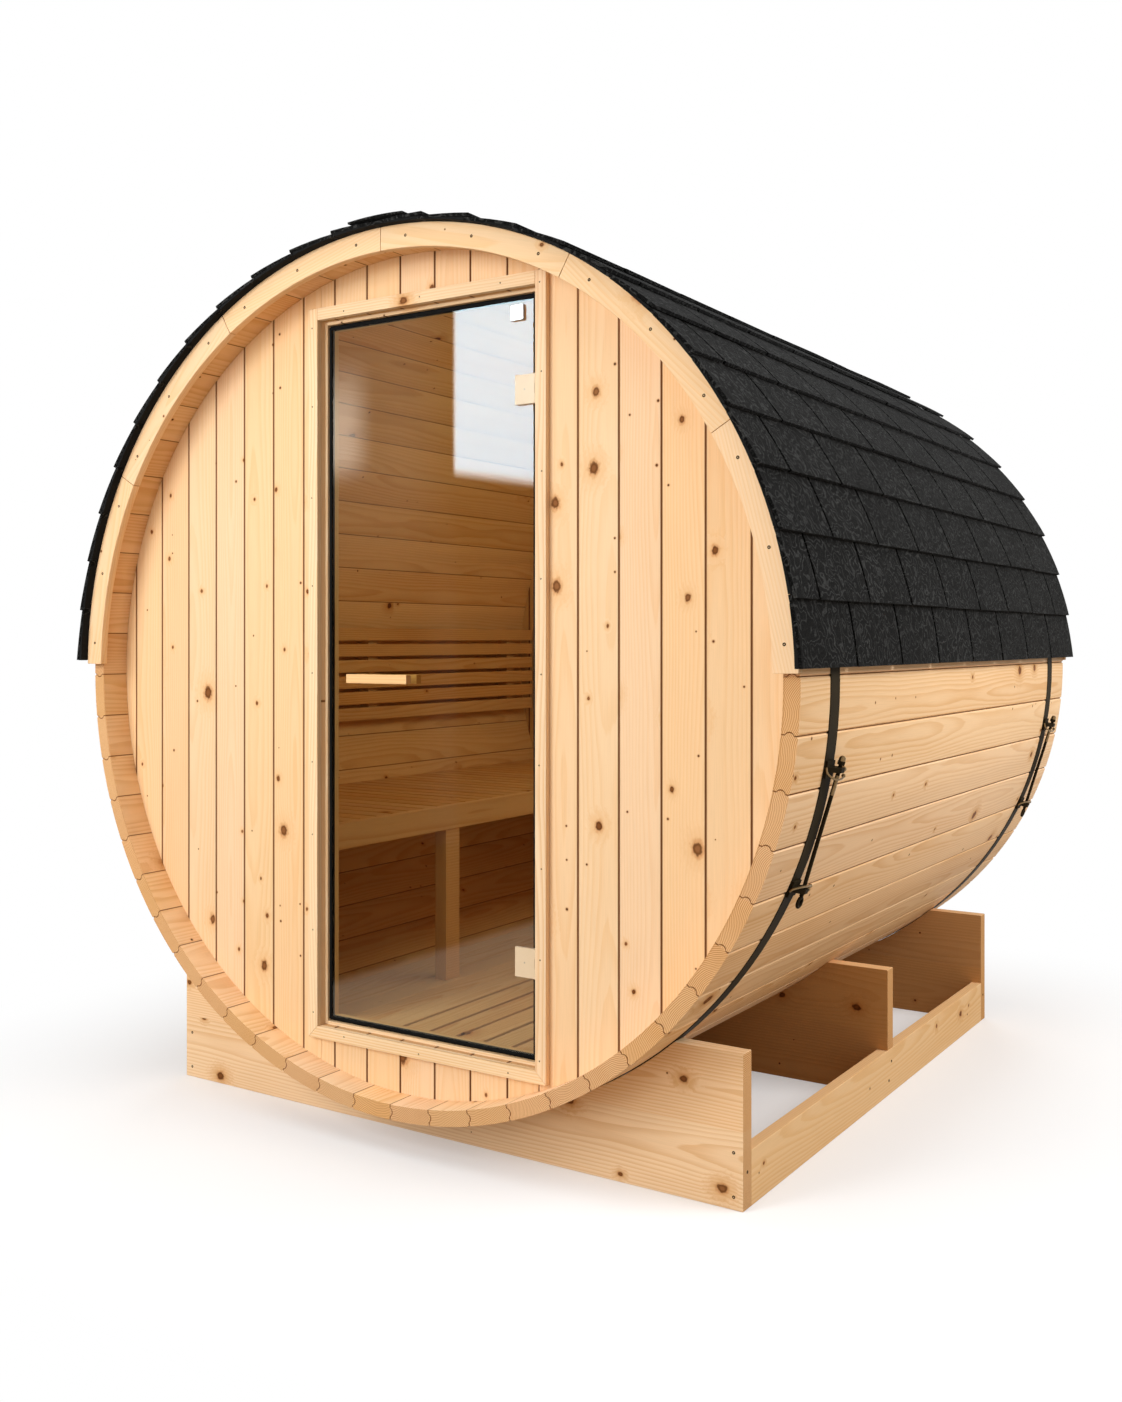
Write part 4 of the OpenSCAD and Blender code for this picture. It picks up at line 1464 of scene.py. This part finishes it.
@dataclass
class Screws:
    """Screw and nail heads in the timber and the fittings."""

    head_radius: float = 0.0034
    nail_radius: float = 0.0018
    fascia_inset: float = math.radians(4.2)
    cradle_reach: float = 0.772
    cradle_levels: Range = (0.026, 0.114)
    rail_face: float = 0.79285
    rail_spots: tuple[Range, ...] = ((-0.838, 0.074), (0.793, 0.074), (-0.020, 0.036), (-0.002, 0.080))
    nail_rows: int = 9
    nail_foot: float = 0.02
    nail_shares: tuple[float, ...] = (0.12, 0.5, 0.88)
    nail_play: float = 0.02
    side_play: float = 0.004
    level_play: float = 0.003
    catch_place: Place = (0.293, -0.920, 1.8279)
    seed: int = 19

    def add_head(self, mesh: bmesh.types.BMesh, point: Vector, normal: Vector, radius: float) -> None:
        """Add one domed head with a star recess.

        Args:
            mesh: the mesh to add to.
            point: middle of the head on the surface.
            normal: outward normal of the surface.
            radius: radius of the head.
        """
        profile = ((1.0, -0.3), (1.0, 0.05), (0.86, 0.16), (0.5, 0.2), (0.44, -0.45))
        rings = [(share * radius, height * radius) for share, height in profile]
        add_lathe(mesh, facing(point, normal), rings, 12,
                  lambda row, step: 0.72 if row >= 3 and step % 2 else 1.0)

    def fascia_spots(self) -> Spots:
        """Set three screws in each fascia board.

        Returns:
            The place and the normal of each screw.
        """
        step = math.pi / SIZES.fascia_count
        middle = SIZES.fascia_radius - SIZES.fascia_width / 2
        spots = []
        for end in End:
            for board in range(SIZES.fascia_count):
                for angle in (board * step + self.fascia_inset, (board + 0.5) * step,
                              (board + 1) * step - self.fascia_inset):
                    spots.append((SIZES.around(angle, middle, end.value * SIZES.fascia_face), end.outward))
        return spots

    def base_spots(self) -> Spots:
        """Set the screws in the cradles and rails.

        Returns:
            The place and the normal of each screw.
        """
        spots = []
        for side in Side:
            for end, face in ((End.FRONT, SIZES.cradle_front), (End.REAR, SIZES.cradle_rear)):
                spots += [(Vector((side.value * self.cradle_reach, face, z)), end.outward)
                          for z in self.cradle_levels]
            spots += [(Vector((side.value * self.rail_face, y, z)), Vector((side.value, 0.0, 0.0)))
                      for y, z in self.rail_spots]
        return spots

    def casing_spots(self) -> Spots:
        """Set the nails round the door casing, a little out of line.

        Returns:
            The place and the normal of each nail.
        """
        face = SIZES.wall_face - SIZES.casing_proud
        half = SIZES.casing_width / 2
        foot = SIZES.rough_low + self.nail_foot
        draw = random.Random(self.seed)
        places = []
        for x in (SIZES.rough_left - half, SIZES.rough_right + half):
            for row in range(self.nail_rows):
                z = foot + (SIZES.rough_high - foot) * row / (self.nail_rows - 1)
                places.append((x + draw.uniform(-self.side_play, self.side_play), face,
                               z + draw.uniform(-self.nail_play, self.nail_play)))
        for z in (SIZES.rough_low - half, SIZES.rough_high + half):
            for share in self.nail_shares:
                x = SIZES.rough_left + (SIZES.rough_right - SIZES.rough_left) * share
                places.append((x + draw.uniform(-self.nail_play, self.nail_play), face,
                               z + draw.uniform(-self.level_play, self.level_play)))
        return [(Vector(place), End.FRONT.outward) for place in places]

    def door_spots(self) -> Spots:
        """Set the screws in the clamps and the catch.

        Returns:
            The place and the normal of each screw.
        """
        middle = (SIZES.clamp_left + SIZES.clamp_right) / 2
        face = SIZES.glass_face - SIZES.clamp_thick
        places = [(middle, face, level) for level in SIZES.clamp_levels]
        return [(Vector(place), End.FRONT.outward) for place in (*places, self.catch_place)]

    def build(self) -> None:
        """Build the heads of each group of fixings."""
        steel = SpeckleFinish("fixing_steel", (0.010, 0.005, 0.0025), (0.024, 0.012, 0.006), 0.55, 0.70,
                              specular=0.01).material()
        plate = SpeckleFinish("screw_plate", (0.30, 0.27, 0.22), (0.40, 0.36, 0.30), 0.3, 0.4,
                              metallic=0.6).material()
        for name, spots, radius, body, slot, finish in (
                ("fascia_screws", self.fascia_spots(), self.head_radius, Body.BARREL, "band_steel", steel),
                ("base_screws", self.base_spots(), self.head_radius, Body.BARREL, "band_steel", steel),
                ("casing_nails", self.casing_spots(), self.nail_radius, Body.BARREL, "band_steel", steel),
                ("door_screws", self.door_spots(), self.nail_radius, Body.DOOR, "hinge_metal", plate)):
            mesh = bmesh.new()
            for point, normal in spots:
                self.add_head(mesh, point, normal, radius)
            add_piece(name, mesh, body, slot, finish)


@dataclass(frozen=True)
class SoftLight:
    """A soft rectangular light that the camera, mirrors and panes don't show."""

    name: str
    place: Place
    aim: Place
    size: Range
    power: float
    colour: Colour = (1.0, 1.0, 1.0)

    def build(self) -> None:
        """Set the light up, facing its aim."""
        data = bpy.data.lights.new(self.name, "AREA")
        data.shape = "RECTANGLE"
        data.size, data.size_y = self.size
        data.energy = self.power
        data.color = self.colour
        light = bpy.data.objects.new(self.name, data)
        light.location = self.place
        light.rotation_euler = (Vector(self.aim) - Vector(self.place)).to_track_quat("-Z", "Y").to_euler()
        for ray in ("camera", "glossy", "transmission"):
            setattr(light, f"visible_{ray}", False)
        bpy.context.scene.collection.objects.link(light)


LIGHTS = (
    SoftLight("key_card", (-1.4, -4.1, 2.66), (-0.4, -0.9, 1.5), (1.8, 1.5), 70.0),
    SoftLight("front_fill", (-0.5, -5.0, 1.5), (0.1, -0.9, 0.9), (3.0, 2.2), 74.0),
    SoftLight("side_fill", (4.1, 0.4, 3.5), (0.6, 0.0, 1.0), (3.0, 2.4), 162.0),
    SoftLight("top_fill", (0.0, -2.2, 5.0), (0.0, -0.6, 1.0), (4.0, 3.0), 70.0),
    SoftLight("back_fill", (-2.2, 4.8, 2.4), (-0.2, 0.8, 0.9), (3.0, 2.2), 90.0),
    SoftLight("cabin_fill", (0.42, 0.05, 1.60), (-0.75, 0.1, 1.25), (1.2, 0.4), 3.3, (1.0, 0.95, 0.66)),
)


@dataclass
class MirrorScreens:
    """Dark screens before the door that only mirrors see: painted reflections that the glass shows, a dark
    ground with a studio's bright card, haze, patch, stripe and floor glowing on it.
    """

    # Places, sizes and glow levels of the painted reflections.
    front_place: Place = (-4.2, -4.4, 2.6)
    front_half: Range = (4.6, 2.6)
    floor_place: Place = (-2.2, -2.8, 0.003)
    floor_half: Range = (3.6, 1.6)
    base_level: float = 0.02
    standing: Range = (0.02, 0.04)
    haze_x: Range = (-2.45, -2.95)
    haze_z: Range = (1.2, 2.2)
    haze_level: float = 0.8
    patch_middle: float = -3.34
    patch_half: Range = (0.26, 0.02)
    patch_foot: Range = (1.98, 2.2)
    patch_head: Range = (2.8, 2.35)
    patch_level: float = 5.5
    stripe_left: Range = (-2.84, -2.58)
    stripe_right: Range = (-2.50, -2.54)
    stripe_head: Range = (2.1, 1.2)
    stripe_level: float = 0.15
    apron_x: Range = (-1.17, -1.05)
    apron_level: float = 1.3
    card_left: Range = (-2.555, -2.515)
    card_right: Range = (-1.70, -1.85)
    card_foot: Range = (1.99, 2.07)
    card_tilt: float = 0.17
    card_rise: float = 0.43
    card_level: float = 19.5
    card_colour: Colour = (0.615, 0.81, 0.92)
    veil_colour: Colour = (1.0, 0.90, 0.74)

    def cloth(self) -> bpy.types.Material:
        """Build the screens' glowing finish of painted reflections: the bright softbox card, haze, patch,
        stripe and floor apron.

        Returns:
            The material.
        """
        material, graph, _ = principled("screen_painted_reflections")
        x, _, z = graph.coords().split()
        standing = z.blend(*self.standing)
        haze = x.blend(*self.haze_x) * z.blend(*self.haze_z)
        patch = abs(x - self.patch_middle).blend(*self.patch_half) * (
            z.blend(*self.patch_foot) * z.blend(*self.patch_head))
        stripe = x.blend(*self.stripe_left) * x.blend(*self.stripe_right) * (
            standing * z.blend(*self.stripe_head))
        apron = x.blend(*self.apron_x) * (1.0 - standing)
        tilted = x * self.card_tilt + (z + self.card_rise)
        card = x.blend(*self.card_left) * x.blend(*self.card_right) * tilted.blend(*self.card_foot)
        # Each shape adds glow that paints a reflection of studio light in the door glass; the card paints
        # the key light's softbox.
        level: Value = self.base_level
        for shape, strength in ((patch, self.patch_level), (haze, self.haze_level),
                                (apron, self.apron_level), (stripe, self.stripe_level),
                                (card, self.card_level)):
            level = shape * strength + level
        colour = graph.mix(card, self.veil_colour, self.card_colour)
        graph.surface(graph.add("ShaderNodeEmission", {"Strength": level, "Color": colour})[0])
        return material

    def build(self) -> None:
        """Hang one screen before the camera's mirror image and lay one on the floor."""
        cloth = self.cloth()
        upright = Matrix.Translation(self.front_place) @ Matrix.Rotation(math.pi / 2, 4, "X")
        flat = Matrix.Translation(self.floor_place)
        for name, place, half in (("screen_front", upright, self.front_half),
                                  ("screen_floor", flat, self.floor_half)):
            mesh = bmesh.new()
            bmesh.ops.create_grid(mesh, x_segments=8, y_segments=8, size=1.0)
            bmesh.ops.transform(mesh, verts=mesh.verts, matrix=place @ Matrix.Diagonal((*half, 1.0, 1.0)))
            screen = add_object(name, mesh, cloth)
            for ray in ("camera", "diffuse", "shadow", "transmission"):
                setattr(screen, f"visible_{ray}", False)


@dataclass
class Studio:
    """Camera, lights, screens, white floor and world."""

    camera_place: Place = (1.969, -3.337, 1.130)
    camera_turn: float = 0.5742
    lens: float = 35.42
    sensor: float = 36.0
    shift_y: float = -0.0436
    world_level: float = 0.34
    floor_half: float = 30.0
    floor_colour: Colour = (0.92, 0.92, 0.92)
    floor_bounce: Colour = (0.38, 0.300, 0.215)
    floor_rough: float = 0.9
    floor_white: float = 0.25
    floor_fade: Range = (-0.25, 1.0)
    shadow_half: Range = (0.79, 0.86)

    def build_camera(self) -> None:
        """Set the camera at the photograph's viewing angle."""
        data = bpy.data.cameras.new("camera")
        data.lens = self.lens
        data.sensor_width = self.sensor
        data.shift_y = self.shift_y
        camera = bpy.data.objects.new("camera", data)
        camera.location = self.camera_place
        camera.rotation_euler = (math.pi / 2, 0.0, self.camera_turn)
        bpy.context.scene.collection.objects.link(camera)
        bpy.context.scene.camera = camera

    def build_world(self) -> None:
        """Light the scene evenly, white where the camera and mirrors look."""
        world = bpy.data.worlds.new("studio")
        bpy.context.scene.world = world
        world.use_nodes = True
        graph = Graph(world.node_tree)
        level = graph.seen() * (1.0 - self.world_level) + self.world_level
        graph.feed(world.node_tree.nodes["Background"], {"Color": (1.0, 1.0, 1.0), "Strength": level})

    def floor_finish(self) -> bpy.types.Material:
        """Build the floor's finish: white far off, and with the object's shadow near it.

        Returns:
            The material.
        """
        material, graph, shader = principled("white_floor")
        bounced = graph.add("ShaderNodeLightPath")["Is Diffuse Ray"]
        graph.feed(shader, {"Base Color": graph.mix(bounced, self.floor_colour, self.floor_bounce),
                            "Roughness": self.floor_rough, "Specular IOR Level": 0.0})
        x, y, _ = graph.coords().split()
        aside, ahead = ((abs(part) - half).most(0.0) for part, half in zip((x, y), self.shadow_half))
        far = aside.span(ahead).blend(*self.floor_fade).most(self.floor_white)
        white = graph.add("ShaderNodeEmission")[0]
        graph.surface(graph.join(far * graph.seen(), Taps(graph, shader.outputs)[0], white))
        return material

    def build_floor(self) -> None:
        """Lay the white floor that keeps the object's shadow."""
        mesh = bmesh.new()
        bmesh.ops.create_grid(mesh, x_segments=8, y_segments=8, size=self.floor_half)
        floor = add_object("studio_floor", mesh, self.floor_finish())

    def build(self) -> None:
        """Build the whole studio."""
        self.build_camera()
        for light in LIGHTS:
            light.build()
        MirrorScreens().build()
        self.build_world()
        self.build_floor()
        bpy.context.scene.view_settings.view_transform = "Standard"


def main() -> None:
    """Dress the barrel, build what stands on it, and light it."""
    logging.basicConfig(level=logging.INFO, format="%(message)s")
    for assembly in (Timber(), ShingleRoof(), Bands(), DoorFittings(), Screws(), Studio()):
        assembly.build()


if __name__ == "__main__":
    main()
